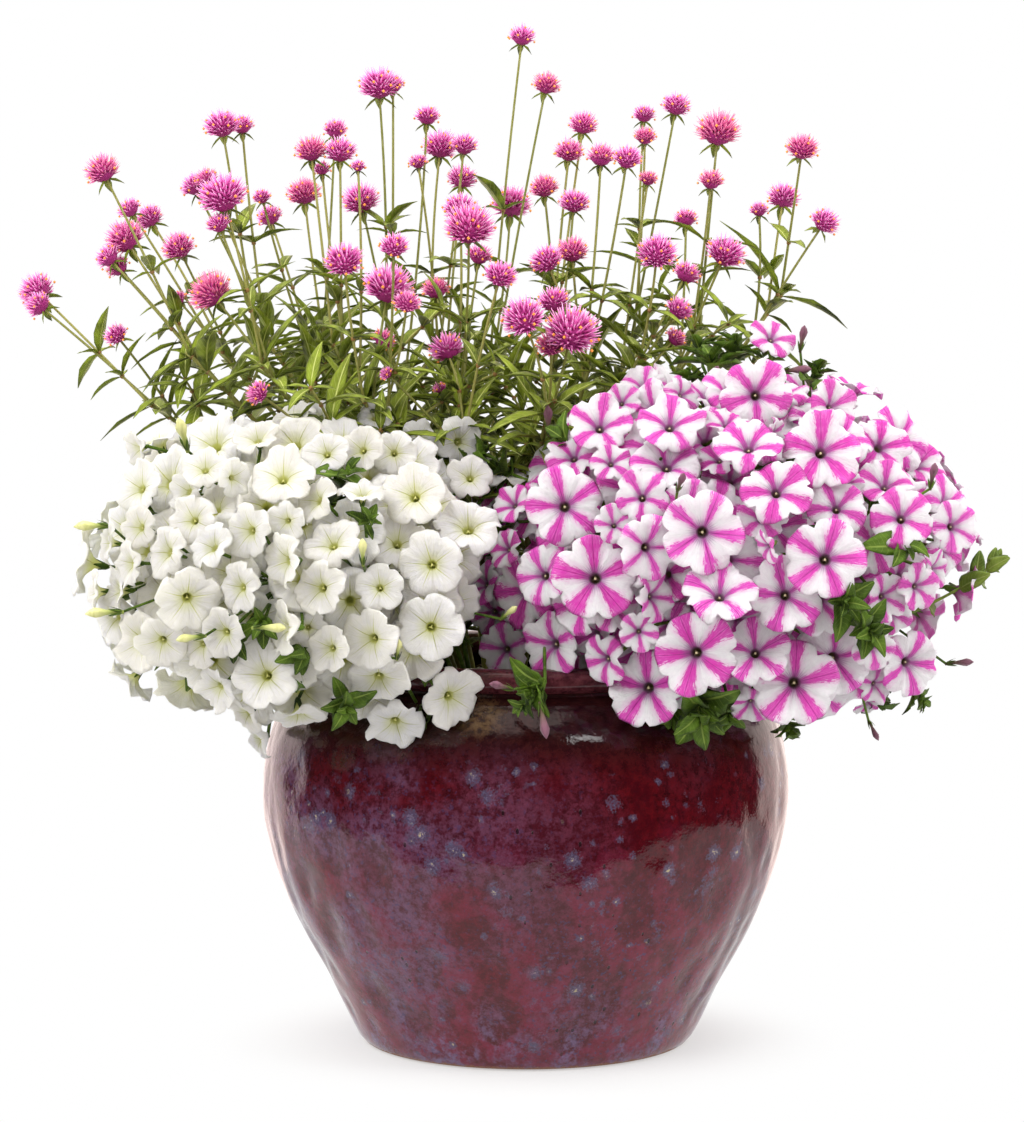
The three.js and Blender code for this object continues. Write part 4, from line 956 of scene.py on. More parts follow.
def tube(growth, paint, path, radius, sides=6, luck=0.5):
    """A round stem along a path."""
    path = np.asarray(path, float)
    ahead = unit(np.gradient(path, axis=0))
    sideways = abs(ahead[:, 0]).max() >= 0.93
    out, side = frame_of(ahead, np.array([0.1, 1, 0.3] if sideways else [1.0, 0.2, 0.1]))
    radius = np.broadcast_to(radius, len(path))[:, None, None]
    round_it = circled(out[:, None], side[:, None], full_turn(sides)[None, :, None])
    reach = np.linspace(0, 1, len(path))[None, :, None]
    growth.add(path[:, None] + radius * round_it, paint, reach, 0.5, luck)


def bent(start, over, end, steps):
    """A curve from start to end, drawn toward a point over it."""
    t = np.linspace(0, 1, steps)[:, None]
    return (1 - t) ** 2 * start + 2 * t * (1 - t) * over + t**2 * end


def open_bloom(growth, bloom, foot):
    """One bloom: petals and throat in one skin, anthers, a calyx of five points, a stalk."""
    index, radius, facing, centre = (bloom[k] for k in ("index", "radius", "facing", "centre"))
    out, side = frame_of(facing, UP if abs(facing[2]) < 0.95 else np.array([0.0, -1.0, 0.0]))
    plain = radius > LARGE_BLOOM and facing[1] < FACES_FRONT
    steps = STEPS_ON_A_PETAL if plain else STEPS_ON_A_TURNED_PETAL
    inside, back = PETAL_RISE, np.array(PETAL_BACK)
    if bloom["far"]:
        steps, inside, back = STEPS_ON_A_FAR_PETAL, inside[1::2], back[::2]
    lobe = np.arange(5 * steps) / steps
    turn = lobe * 2 * math.pi / 5 + bloom["twist"]
    beside = np.abs((lobe + 0.5) % 1 - 0.5) * 2
    luck = [chance(index * 7 + k, 31) for k in range(11)]

    # A bloom seen from its side is shown more as a trumpet, one seen from in front more flat
    tilt = np.linalg.norm(np.cross(facing, unit(EYE - centre)))
    trumpet = min(1.0, TRUMPETS[0] + TRUMPETS[1] * luck[9] + TRUMPETS[2] * tilt)
    inside = np.stack([inside[:, 0], inside[:, 1] * (1 - trumpet) + inside[:, 2] * trumpet], 1)
    behind = np.interp(back - PETAL_SKIN, inside[:, 0], inside[:, 1]) - PETAL_SKIN
    profile = np.concatenate([inside, np.stack([back, behind], 1), PETAL_NECK])
    share = profile[:, :1]

    # Each petal has its own length, sway, lean and curl, all of them nothing at the notches
    notch = NOTCH_DEPTH * np.exp(-(((1 - beside) / NOTCH_WIDTH) ** 2)) + LOBE_FALL * beside**2
    for deep, waves, swing, draw in RIM_WAVERS:
        notch = notch + deep * np.cos(waves * turn + swing * luck[draw])
    petal = np.floor((lobe + 0.5) % 5) + index * 5
    blend = 1 - beside**6
    longer = (chance(petal, 33) - 0.5) * blend
    lean = (chance(petal, 36) - 0.5) * np.sin(2 * math.pi * (lobe + 0.5))
    curl = chance(petal, 35) * blend
    away = share * (1.03 - notch * share**5 + 0.08 * longer * share**2)
    ruffle = sum(deep * np.sin(waves * turn + 6 * luck[draw]) for deep, waves, draw in RUFFLES)
    rise = profile[:, 1:] + (0.16 * luck[1] - 0.08) * share**2 * (share > 0.2)
    rise = rise + ((1.1 + 1.3 * luck[10]) * ruffle + PETAL_SWAY * (longer + lean)) * share**3
    rise = rise - PETAL_CURL * curl * share**8
    crease = -CREASE_DEPTH * np.exp(-((beside / CREASE_WIDTH) ** 2))
    crease = crease + SEAM_RISE * np.exp(-(((1 - beside) / SEAM_WIDTH) ** 2))
    rise = rise + crease * np.clip(share * 2.2 - 0.4, 0, 1) * (1.25 - share)
    pleat = PLEAT_DEPTH * np.sin(lobe * 2 * math.pi * 4 + 6 * luck[3]) * share * (1 - share) * 4
    rise = rise + pleat * (share > 0.2)
    round_it = circled(out, side, turn[:, None])
    rings = centre + radius * (away[..., None] * round_it + rise[..., None] * facing)
    reach = np.where(np.arange(len(profile)) < len(inside), profile[:, 0], 2 - profile[:, 0])
    growth.add(rings, PETAL, reach[None, :, None], beside, luck[8])

    deep = np.interp(0.13, inside[:, 0], inside[:, 1])
    for anther in range(0 if bloom["far"] else ANTHERS):
        at = anther * 2.1 + bloom["twist"]
        spread = 0.05 * radius * circled(out, side, at) * (anther > 0)
        heart = centre + spread + (deep + 0.03 * (anther == 0)) * radius * facing
        size = (PISTIL_SIZE if anther == 0 else ANTHER_SIZE) * radius
        growth.add(ball(heart, size, 4, 6), HEART, 0.9 * (anther == 0), 0.5, luck[0])
    neck = centre - TUBE_LENGTH * radius * facing
    high, wide, higher, wider = CALYX.T[:, :, None]
    high, wide = (high + higher * (np.arange(10) % 2), wide + wider * (np.arange(10) % 2))
    round_it = circled(out, side, full_turn(10)[:, None] + 0.4)
    calyx = neck + radius * (wide[..., None] * round_it + high[..., None] * facing)
    growth.add(calyx, GREEN, 0.3, 0.5, luck[4])
    sag = np.linalg.norm(neck - foot) * 0.16
    path = bent(foot, (foot + neck) / 2 + UP * sag * 0.6 - facing * sag, neck + facing * 1.5, 7)
    tube(growth, GREEN, path, np.linspace(1.0, 1.35, 7), 5, luck[0])


def bud(growth, base, direction, length, luck):
    """A furled bloom: a long twisted bud in five sepals."""
    steps = np.linspace(0, 1, 9)
    path = base + direction * length * steps[:, None] + UP * (-0.08 * length * steps**2)[:, None]
    wide = length * 0.085 * np.array([0.6, 0.62, 0.66, 0.72, 0.9, 1.25, 1.45, 1.0, 0.12])
    ahead = unit(np.gradient(path, axis=0))
    out, side = frame_of(ahead, np.array([0.2, 1.0, 0.1]) if abs(direction[1]) < 0.9 else UP)
    turn = full_turn(10)
    pleat = 1 + 0.16 * np.cos(turn * 5)[None, :, None] * (steps > 0.4)[:, None, None]
    swirl = turn[None, :, None] + (steps * 1.3)[:, None, None]
    round_it = circled(out[:, None], side[:, None], swirl)
    skin = path[:, None] + wide[:, None, None] * pleat * round_it
    growth.add(skin, BUD, steps[None, :, None], 0.5, luck)
    around = circled(out[0], side[0], full_turn(5)[:, None])
    blades(
        growth, GREEN, base + around * 0.8, direction * 0.93 + 0.3 * around, -around,
        length * 0.42, length * 0.09, -0.05, rows=5, arch=0.0, belly=0.9, fold=0.1, luck=luck,
    )


# The finishes of the petunias: petals with a worn gloss like fine cloth, veined from the
# throat, hairy mid-green leaves and stems, and buds in the colour of the petals' backs.
def leaf_finish(name, dark, light, vein, fuzz):
    """A leaf with a pale midrib, side veins and edge, and some fuzz."""
    leaf = Finish(
        name, Roughness=0.5, Sheen_Weight=fuzz, Sheen_Roughness=0.4, Specular_IOR_Level=0.28
    )
    reach, across, luck = (leaf.given(mark) for mark in ("reach", "across", "chance"))
    patch = leaf.noise(leaf.place(), 60.0, 3.0)
    leaf.colour = leaf.mix(leaf.span(patch, 0.3, 0.7), dark, light)
    leaf.coat(leaf.span(luck, 0.0, 1.0, 0.0, 0.45), light)
    side_veins = leaf.math("SUBTRACT", leaf.times(reach, 9.0), leaf.times(across, 2.2))
    side_veins = leaf.math("PINGPONG", side_veins, 0.5)
    rib = leaf.span(across, 0.13, 0.03, 0.0, 0.8)
    veins = leaf.math("MAXIMUM", rib, leaf.span(side_veins, 0.08, 0.0, 0.0, 0.35))
    pale = leaf.math("MAXIMUM", veins, leaf.span(across, 0.93, 1.0, 0.0, 0.35))
    leaf.coat(pale, vein)
    relief = leaf.plus(leaf.times(pale, -1.0), leaf.times(leaf.noise(leaf.place(), 900.0), 0.5))
    return leaf.wear(relief, 0.0006, 0.6)


def petal_finish(name, glow, glow_reach):
    """The matt skin of a petal, with how much light sinks in and how far in metres."""
    return Finish(
        name, Roughness=0.62, Specular_IOR_Level=0.3, Subsurface_Weight=glow,
        Subsurface_Scale=1.0, Subsurface_Radius=glow_reach,
    )


def petal_shares(petal):
    """Reach from the axis, distance from the middle vein, and whether it is the outside."""
    reach, across = petal.given("reach"), petal.given("across")
    far = petal.math("SUBTRACT", 1.0, petal.math("ABSOLUTE", petal.math("SUBTRACT", reach, 1.0)))
    beside = petal.times(far, across, 0.628)
    return far, across, beside, petal.span(reach, 0.995, 1.005)


def petal_streaks(petal, across, far):
    """Fine lines that fan out along each petal, their own on every bloom."""
    scales = ((across, 9.0), (far, 1.6), (petal.given("chance"), 60.0))
    sides = {number: petal.times(*pair) for number, pair in enumerate(scales)}
    fan = petal.put("ShaderNodeCombineXYZ", sides).outputs[0]
    return petal.noise(fan, 3.0, 3.0, 0.7)


petunia_green = leaf_finish("petunia_green", (22, 42, 3), (84, 112, 26), (134, 154, 68), 0.03)

# White: creamy where it is older, lime in the throat and along the veins, brown specks at the rim
petal = petal_finish("white_petal", 0.5, (0.006, 0.006, 0.004))
far, across, beside, outside = petal_shares(petal)
weave = petal.noise(petal.place(), 330.0, 3.0)
streaks = petal_streaks(petal, across, far)
petal.colour = petal.mix(petal.given("chance"), (249, 247, 238), (243, 238, 222))
petal.coat(petal.span(streaks, 0.35, 0.75, 0.0, 0.35), (222, 219, 204))
petal.coat(petal.span(far, 0.55, 0.16, 0.0, 0.75), (230, 232, 166))
vein_width = petal.span(far, 0.2, 0.95, 0.014, 0.006)
main_vein = petal.span(petal.math("SUBTRACT", beside, vein_width), 0.01, -0.004)
fan = petal.math("PINGPONG", petal.plus(petal.times(across, 2.5), petal.times(far, 0.7)), 0.5)
veins = petal.math("MAXIMUM", main_vein, petal.times(petal.span(fan, 0.09, 0.0), 0.4))
veins = petal.times(veins, petal.span(far, 0.98, 0.3, 0.0, 0.85))
petal.coat(veins, (200, 202, 112))
petal.coat(petal.span(far, 0.2, 0.12), (208, 212, 110))
petal.coat(petal.span(far, 0.13, 0.06), (168, 172, 78))
petal.coat(petal.times(outside, petal.span(far, 0.36, 0.12, 0.0, 0.9)), (208, 214, 128))
aged = petal.times(petal.span(weave, 0.6, 0.72), petal.span(far, 0.93, 1.0, 0.0, 0.35))
petal.coat(aged, (206, 168, 120))
wrinkle = petal.plus(streaks, petal.times(veins, -0.7), petal.times(weave, 0.6))
white_petal = petal.wear(wrinkle, 0.0024, 0.75)

# Striped: a magenta star on white, its edges feathered by the streaks, grey-violet in the throat
petal = petal_finish("striped_petal", 0.35, (0.006, 0.004, 0.005))
far, across, beside, outside = petal_shares(petal)
luck = petal.given("chance")
weave = petal.noise(petal.place(), 330.0, 3.0)
streaks = petal_streaks(petal, across, far)
blotch = petal.noise(petal.place(), 90.0, 4.0, 0.65)
edge = petal.plus(
    petal.span(streaks, 0.28, 0.72, -1.0, 1.0, False),
    petal.span(blotch, 0.3, 0.7, -0.8, 0.8, False),
)
edge = petal.plus(beside, petal.times(edge, petal.span(far, 0.2, 1.0, 0.02, 0.1)))
star_half = petal.times(
    petal.span(far, 0.12, 1.0, 0.045, 0.175, False), petal.span(luck, 0.0, 1.0, 0.8, 1.45, False)
)
past = petal.math("SUBTRACT", edge, star_half)
pink = petal.mix(luck, (224, 70, 184), (208, 48, 160))
pink = petal.mix(petal.span(streaks, 0.42, 0.68, 0.0, 0.55), pink, (238, 132, 210))
pink = petal.mix(petal.span(beside, 0.016, 0.004, 0.0, 0.6), pink, (146, 16, 104))
petal.colour = petal.mix(weave, (250, 244, 248), (236, 226, 236))
petal.coat(petal.span(streaks, 0.4, 0.75, 0.0, 0.4), (220, 200, 216))
petal.coat(petal.span(past, 0.17, 0.0, 0.0, 0.4), (232, 140, 208))
petal.coat(petal.span(past, 0.03, -0.03), pink)
fan = petal.math("PINGPONG", petal.times(across, 3.5), 0.5)
fan_vein = petal.times(petal.span(fan, 0.12, 0.0), petal.span(far, 0.46, 0.2))
petal.coat(petal.span(far, 0.36, 0.18, 0.0, 0.55), (168, 112, 168))
petal.coat(petal.times(fan_vein, 0.7), (96, 42, 100))
petal.coat(petal.span(far, 0.17, 0.12), (136, 98, 126))
petal.coat(petal.span(far, 0.12, 0.07), (116, 104, 66))
petal.coat(petal.times(outside, 0.28), (208, 148, 196))
petal.coat(petal.times(outside, petal.span(far, 0.4, 0.14, 0.0, 0.85)), (132, 64, 110))
wrinkle = petal.plus(streaks, petal.times(fan_vein, -1.0), petal.times(weave, 0.6))
striped_petal = petal.wear(wrinkle, 0.0024, 0.75)


def bud_finish(name, base, tip, streak):
    """A colour at the base and one at the tip, streaked along."""
    made = Finish(name, Roughness=0.55, Sheen_Weight=0.1)
    grain = made.noise(made.place((1.0, 1.0, 0.35)), 320.0, 3.0)
    made.colour = made.mix(made.span(made.given("reach"), 0.2, 0.8), base, tip)
    made.coat(made.span(grain, 0.5, 0.7, 0.0, 0.6), streak)
    return made.wear(grain, 0.0008, 0.6)


white_bud = bud_finish("white_bud", (142, 158, 66), (212, 210, 146), (178, 180, 102))
striped_bud = bud_finish("striped_bud", (94, 80, 56), (120, 76, 94), (74, 40, 52))
white_heart = bud_finish("white_anther", (200, 200, 110), (222, 218, 142), (168, 164, 80))
striped_heart = bud_finish("striped_anther", (96, 82, 58), (206, 196, 150), (84, 66, 54))


# The petunias' stems: green and hairy, thirteen to a plant, out of the soil, over the lip
# and down inside the mound, with leaves and buds between the blooms. Each stem with its
# blooms, leaves and buds is one piece.
WHITE_STEMS = [
    (150, 50), (230, 52), (315, 48), (128, 8), (165, 12), (200, 5), (232, 8), (262, 5), (296, 8),
    (182, -28), (218, -30), (250, -32), (285, -30),
]
STRIPED_STEMS = [
    (30, 52), (310, 55), (225, 50), (52, 10), (15, 10), (340, 6), (308, 8), (278, 5), (244, 8),
    (358, -28), (322, -32), (290, -32), (255, -30),
]
STEM_DEPTH = 16.0
STEM_RADIUS = 2.0
THIN_STEM = 1.2
SIDE_STEM = 0.9
STEM_REACH = 0.66
ROOT_SHARE = 0.36
RIM_SHARE = 0.3
RIM_RISE = 76.0
STEM_STEPS = 3
LAST_JOINT = 0.98
CARRYING_PLACES = (0.5, 0.6, 0.7, 0.8, 0.9, LAST_JOINT)
LEAF_PLACES = 176
# How far out in the mound the deepest leaf stands, and how much further the outermost
LEAF_DEPTH = (0.54, 0.24)
TRIO_BACK = 8.0
ROSETTE_BACK = 10.0
ROSETTE_STEP = 1.6
LIP_CLEAR = 14.0
# What stands this far in front of the mound's face hangs before the jar's lip
HANGING = -100.0
SHOOT_INSIDE = 34.0
SHOOT_OUTSIDE = 4.0
LEAF_LENGTH = 22.0
LEAF_LENGTH_MORE = 16.0
LEAF_WIDTH = np.array([0.56, 0.5, 0.44])
TWIG_STEPS = 8
GROUND_STEPS = 16


def mound_stems(places, mound):
    """Root, bend and tip of each stem, from how far round and up in its mound it ends."""
    stems = []
    for around, rise in places:
        tip = facing_of(around + 90, rise) * mound["half"] * STEM_REACH + mound["centre"]
        root = mound["patch"] + (tip - mound["centre"]) * ROOT_SHARE * (1, 1, 0)
        over = root + (tip - root) * RIM_SHARE
        over[2] = max(JAR_HEIGHT + RIM_RISE, tip[2])
        stems.append((root, over, tip))
    return stems


def on_stem(stem, at):
    """A place on the straight runs between a few points of the stem's curve."""
    points = bent(*stem, STEM_STEPS + 1)
    run = min(STEM_STEPS - 1, int(at * STEM_STEPS))
    return points[run] + (points[run + 1] - points[run]) * (at * STEM_STEPS - run)


def nearest_stem(stems, place):
    """The stem that passes nearest to a place, and the joint on it that is nearest."""
    best = None
    for number, stem in enumerate(stems):
        for at in CARRYING_PLACES:
            point = on_stem(stem, at)
            apart = np.linalg.norm(point - place)
            if best is None or apart < best[0]:
                best = (apart, number, point)
    return best[1], best[2]


def clear_of(blooms, points):
    """Whether a leaf along these points stays on one side of every bloom."""
    points = np.asarray(points)
    return not any(cuts(points, bloom) for bloom in blooms)


def over_the_lip(end):
    """The path of a shoot that rises from the soil, clears the lip and hangs in front of it."""
    foot = np.array([end[0], -(NECK_RADIUS - SHOOT_INSIDE), SOIL_HEIGHT - STEM_DEPTH])
    crest = np.array([end[0], -(LIP_CENTRE[0] + SHOOT_OUTSIDE), JAR_HEIGHT + LIP_CLEAR])
    return bent(foot, 2 * crest - (foot + end) / 2, end, 16)


def rising(root, over, tip, steps=GROUND_STEPS):
    """The path of a stem, from its foot in the soil straight up and over to its tip."""
    below = [root - UP * STEM_DEPTH, root - UP * 4]
    return np.concatenate([below, bent(root, over, tip, steps)])


def leaf_trio(growth, index, foot, place, out, flowers):
    """Three leaves on a side shoot, left out where they would cut through a bloom."""
    way = unit(unit(place - foot) + out * 0.9 + UP * 0.25)
    long = LEAF_LENGTH + LEAF_LENGTH_MORE * chance(index, 62)
    base = place - way * TRIO_BACK
    _, cross = frame_of(way, UP if abs(way[2]) < 0.9 else np.array([1.0, 0, 0]))
    ways = np.array([way + cross * 0.75, way - cross * 0.75, way + UP * 0.15])
    ahead = unit(ways) * long
    if clear_of(flowers, base + np.concatenate([ahead, ahead / 2])):
        tube(growth, GREEN, bent(foot, (foot + base) / 2 + UP * 4, base, 6), SIDE_STEM, 5)
        blades(
            growth, GREEN, base, ways, out + UP * 0.6, long * np.array([1.0, 0.9, 0.8]),
            long * LEAF_WIDTH, 0.25, belly=0.85, petiole=0.12, wave=0.14, point=0.7,
            luck=chance(index, 63),
        )


def rosette(growth, index, base, out, count, size, flowers):
    """A tuft of leaves, spread low at its foot and closing upward, each its own size."""
    first, second = frame_of(out)
    for leaf in range(count + 3):
        luck = chance(leaf + index * 9, 65)
        turn = leaf * 2.4 + chance(index, 64) + 0.8 * luck
        around = circled(first, second, turn)
        way = around + out * (0.15 + 1.0 * leaf / count + 0.4 * luck)
        long = size * MM_PER_POINT * (1.0 - 0.4 * leaf / count) * (0.7 + 0.45 * luck)
        ahead = unit(way) * long
        if clear_of(flowers, [base + ahead * 0.2, base + ahead * 0.6, base + ahead]):
            blades(
                growth, GREEN, base + out * leaf * ROSETTE_STEP, way, out + UP * 0.3, long,
                long * (0.5 + 0.16 * luck), 0.1 + 0.4 * luck, rows=7, belly=0.82, petiole=0.1,
                wave=0.22, point=0.66, fold=0.42, sweep=0.5 * (luck - 0.5), luck=0.7 * luck,
            )


def petunia(name, stem_places, mound, flowers, rosettes, buds, finishes):
    """One plant: each stem is a growth that the blooms, leaves and buds nearest to it join."""
    stems = mound_stems(stem_places, mound)
    growths = [Growth() for _ in stems]
    for growth, stem in zip(growths, stems):
        path = rising(*stem)
        tube(growth, GREEN, path, np.linspace(STEM_RADIUS, THIN_STEM, len(path)), 6)
    for bloom in flowers:
        neck = bloom["centre"] - TUBE_LENGTH * bloom["radius"] * bloom["facing"]
        number, foot = nearest_stem(stems, neck)
        open_bloom(growths[number], bloom, foot)
    for index, out in enumerate(all_round(LEAF_PLACES)):
        deep = LEAF_DEPTH[0] + LEAF_DEPTH[1] * chance(index, 61)
        place = mound["centre"] + out * mound["half"] * deep
        in_the_jar = math.hypot(*place[:2]) < jar_radius_at(place[2]) + 14
        if out[2] >= -0.75 and not (in_the_jar and place[2] < JAR_HEIGHT + 6):
            number, foot = nearest_stem(stems, place)
            leaf_trio(growths[number], index, foot, place, out, flowers)

    # What hangs in front of the lip springs from one shoot, which the first rosette there ends
    shoot = None
    for index, (px, py, count, size, depth) in enumerate(rosettes):
        centre = seen_at(px, py, depth_on(mound, px, py) + depth)
        number, foot = nearest_stem(stems, centre)
        out = unit(centre - mound["centre"])
        base = centre - out * ROSETTE_BACK
        if depth < HANGING and shoot is None:
            shoot = (number, base)
            path = over_the_lip(base)
        elif depth < HANGING:
            number, foot = shoot
            path = bent(foot, (foot + base) / 2, base, 4)
        else:
            path = bent(foot, (foot + base) / 2 + UP * 6, base, TWIG_STEPS)
        tube(growths[number], GREEN, path, THIN_STEM, 6)
        rosette(growths[number], index, base, out, count, size, flowers)
    for index, (px, py, length, turn, lift, depth) in enumerate(buds):
        base = seen_at(px, py, depth_on(mound, px, py) + depth)
        number, foot = shoot if depth < HANGING else nearest_stem(stems, base)
        way = facing_of(turn, lift)
        tube(growths[number], GREEN, bent(foot, (foot + base) / 2, base + way, 7), 1.0, 5)
        bud(growths[number], base, way, length * MM_PER_POINT, chance(index, 66))
    for number, growth in enumerate(growths):
        made = growth.piece(f"{name}_{number + 1:02d}", finishes)
        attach(made, "root")
        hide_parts(f"{name}_stem_{number + 1:02d}")


# Rosettes of leaves: across, down, leaves, size, and how far back from the mound's face
WHITE_ROSETTES = [
    (345, 706, 6, 34, -4), (425, 712, 6, 46, 4), (305, 652, 6, 34, 8), (262, 622, 5, 30, 8),
    (478, 455, 6, 34, -6), (350, 470, 6, 30, 6), (235, 640, 5, 32, 8), (370, 520, 5, 26, 6),
    (430, 668, 5, 34, 8), (300, 690, 5, 30, 6),
]
STRIPED_ROSETTES = [
    (700, 706, 9, 50, 2), (672, 716, 6, 36, 4), (728, 712, 6, 36, 4), (535, 690, 6, 36, -106),
    (522, 706, 4, 26, -112), (700, 352, 7, 40, 30), (736, 348, 7, 38, 26), (722, 392, 7, 36, 10),
    (690, 378, 6, 30, 16), (765, 350, 6, 34, 16), (812, 392, 7, 30, 4), (655, 452, 5, 24, 10),
    (500, 470, 6, 34, 10), (845, 602, 6, 34, 2), (866, 630, 9, 34, -4),
    (905, 545, 7, 34, 0), (565, 440, 8, 36, 0), (712, 370, 9, 44, 0), (838, 708, 6, 32, 4),
    (880, 702, 6, 32, 4), (922, 700, 5, 26, 6), (815, 375, 7, 34, 6), (640, 440, 5, 26, 4),
    (790, 730, 5, 30, 4), (505, 520, 5, 26, 6),
]
# Buds: across, down, length, turned to the right and up, and how far back from the face
WHITE_BUDS = [
    (188, 452, 42, -20, 60, -6), (112, 526, 36, -80, 4, -4), (124, 612, 36, -85, 2, -2),
    (206, 636, 30, -60, 0, -6), (252, 628, 34, 70, 6, -8), (363, 566, 30, 0, 70, -6),
    (397, 660, 26, 10, 60, -8), (228, 430, 20, 20, 50, -4), (500, 620, 24, 60, 40, -4),
]
STRIPED_BUDS = [
    (514, 690, 28, -60, 20, -112), (677, 492, 26, 20, 50, -8), (549, 436, 34, -10, 75, -4),
    (930, 490, 30, 20, 70, -4), (945, 664, 28, 75, 10, -2), (540, 702, 34, 20, -60, -112),
    (716, 376, 22, 0, 30, -10), (868, 720, 22, 40, -50, -4), (800, 352, 30, 20, 70, 0),
    (780, 372, 34, 60, 10, 0),
]
petunia(
    "white_petunia", WHITE_STEMS, WHITE_MOUND, white_flowers, WHITE_ROSETTES,
    WHITE_BUDS, [petunia_green, white_petal, white_bud, white_heart],
)
petunia(
    "striped_petunia", STRIPED_STEMS, STRIPED_MOUND, striped_flowers,
    STRIPED_ROSETTES, STRIPED_BUDS, [petunia_green, striped_petal, striped_bud, striped_heart],
)

# The bare shoot of the striped petunia on the right: it reaches past the blooms, in pairs of
# small leaves to a tuft at its tip.
SPRIG_ROOT = STRIPED_MOUND["patch"] + (46.0, 12.0, 0.0)
SPRIG_TIP = seen_at(996, 562, -66)
SPRIG_BEND = seen_at(938, 600, -74)
# Where along the shoot each pair of leaves stands, and their length
SPRIG_PAIRS = ((0.66, 17), (0.79, 22), (0.87, 20), (0.93, 17), (0.96, 14), (0.98, 11), (1.0, 9))

sprig_growth = Growth()
sprig_over = (SPRIG_BEND - 0.09 * SPRIG_ROOT - 0.49 * SPRIG_TIP) / 0.42
sprig_path = rising(SPRIG_ROOT, sprig_over, SPRIG_TIP, 22)
tube(sprig_growth, GREEN, sprig_path, np.linspace(STEM_RADIUS, SIDE_STEM, len(sprig_path)), 6)
ahead = unit(SPRIG_TIP - sprig_over)
first, second = frame_of(ahead)
for number, (at, length) in enumerate(SPRIG_PAIRS):
    spot = bent(SPRIG_ROOT, sprig_over, SPRIG_TIP, 101)[int(at * 100)]
    around = circled(first, second, 0.4 + (number % 2) * 0.9)
    size = length * (1 + 0.2 * chance(number, 68))
    blades(
        sprig_growth, GREEN, spot, np.array([around, -around]) + ahead * (0.4 + 0.12 * number),
        (0.0, -1.0, 0.5), size, size * 0.56, 0.25, rows=8, belly=0.85, petiole=0.12,
        point=0.62, wave=0.16, luck=chance(number, 67),
    )
shoot_green = leaf_finish(
    "petunia_shoot_green", (78, 102, 34), (128, 148, 58), (160, 176, 96), 0.08
)
sprig = sprig_growth.piece("striped_petunia_sprig_shoot", [shoot_green])
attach(sprig, "root")
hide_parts("striped_petunia_sprig")


# The amaranth: wiry olive stems with narrow leaves in crossed pairs, forked at red joints
# into bare stalks, each with a round head of papery magenta bracts and tiny orange florets
# over two small leaves. Each spray from one stem is a piece.
AMARANTH_SPRAYS = [
    ((146, 402), 56, [(38, 292, 38), (40, 306, 28), (117, 336, 24)]),
    ((186, 352), -4, [(103, 172, 35), (126, 240, 40), (109, 258, 26), (119, 268, 25)]),
    ((212, 344), 140, [(130, 210, 25), (150, 219, 30), (179, 249, 35), (178, 300, 20)]),
    ((250, 318), 84, [(222, 127, 36), (242, 127, 25), (195, 187, 28), (207, 180, 25)]),
    ((258, 362), -40, [(223, 198, 47), (219, 225, 24), (212, 294, 42)]),
    ((298, 326), 190, [(262, 198, 20), (270, 218, 28), (335, 131, 26), (304, 195, 36)]),
    ((330, 340), 10, [(311, 152, 32), (340, 153, 32), (322, 170, 18), (358, 167, 15)]),
    ((384, 338), 118, [(379, 87, 42), (393, 86, 24), (361, 202, 40), (427, 118, 26)]),
    ((362, 398), -70, [(344, 263, 37), (388, 289, 48), (407, 304, 26), (394, 248, 28)]),
    ((316, 440), -66, [(259, 394, 24), (383, 341, 24)]),
    ((432, 344), 176, [(440, 148, 38), (464, 147, 28), (418, 163, 20), (462, 180, 31)]),
    ((456, 382), 8, [(460, 210, 34), (469, 229, 49), (479, 257, 26), (436, 291, 28)]),
    ((490, 352), 226, [(522, 38, 29), (511, 206, 43), (546, 86, 30)]),
    ((462, 424), -58, [(447, 350, 34), (500, 277, 31), (440, 389, 14), (387, 374, 14)]),
    ((556, 366), 110, [(544, 189, 30), (574, 204, 31), (569, 153, 30), (583, 126, 30)]),
    ((548, 410), -62, [(524, 320, 41), (554, 303, 32), (571, 334, 52), (551, 346, 30)]),
    ((590, 366), 14, [(547, 262, 33), (572, 253, 32), (601, 158, 29), (627, 160, 29)]),
    ((642, 320), 196, [(644, 116, 24), (645, 138, 24), (676, 107, 31), (648, 180, 20)]),
    ((642, 352), 22, [(657, 255, 39), (686, 275, 28), (678, 311, 28), (675, 339, 22)]),
    ((702, 330), 104, [(718, 133, 45), (711, 182, 26), (686, 220, 24), (725, 255, 40)]),
    ((785, 290), 148, [(802, 150, 33), (783, 199, 34), (759, 211, 20), (824, 223, 31)]),
]
AMARANTH_ROOT_CENTRE = np.array([-18.0, 66.0])
AMARANTH_ROOT_SPREAD = np.array([0.24, 0.288])
AMARANTH_ARCH = 46.0
# Half the thickness of each at its foot and at its end
STEM_THICK = (2.2, 1.55)
BRANCH_THICK = (1.3, 0.9)
STALK_THICK = (1.15, 0.95)
BRANCHES = 3
# The shortest, and how much longer the longest is
BRANCH_REACH = (62.0, 48.0)
STEM_LEAF = (46.0, 22.0)
# A leaf's length at the branch's first joint, how much less at each next, and what luck adds
BRANCH_LEAF = (46.0, 9.0, 10.0)
BARE_STALK = 60.0
TALL_STALK = 130.0
HEAD_DEPTH_SPREAD = 90.0
HEAD_FULL = 1.08
HEAD_FLATTER = 0.2
HEART_SIZE = 0.66
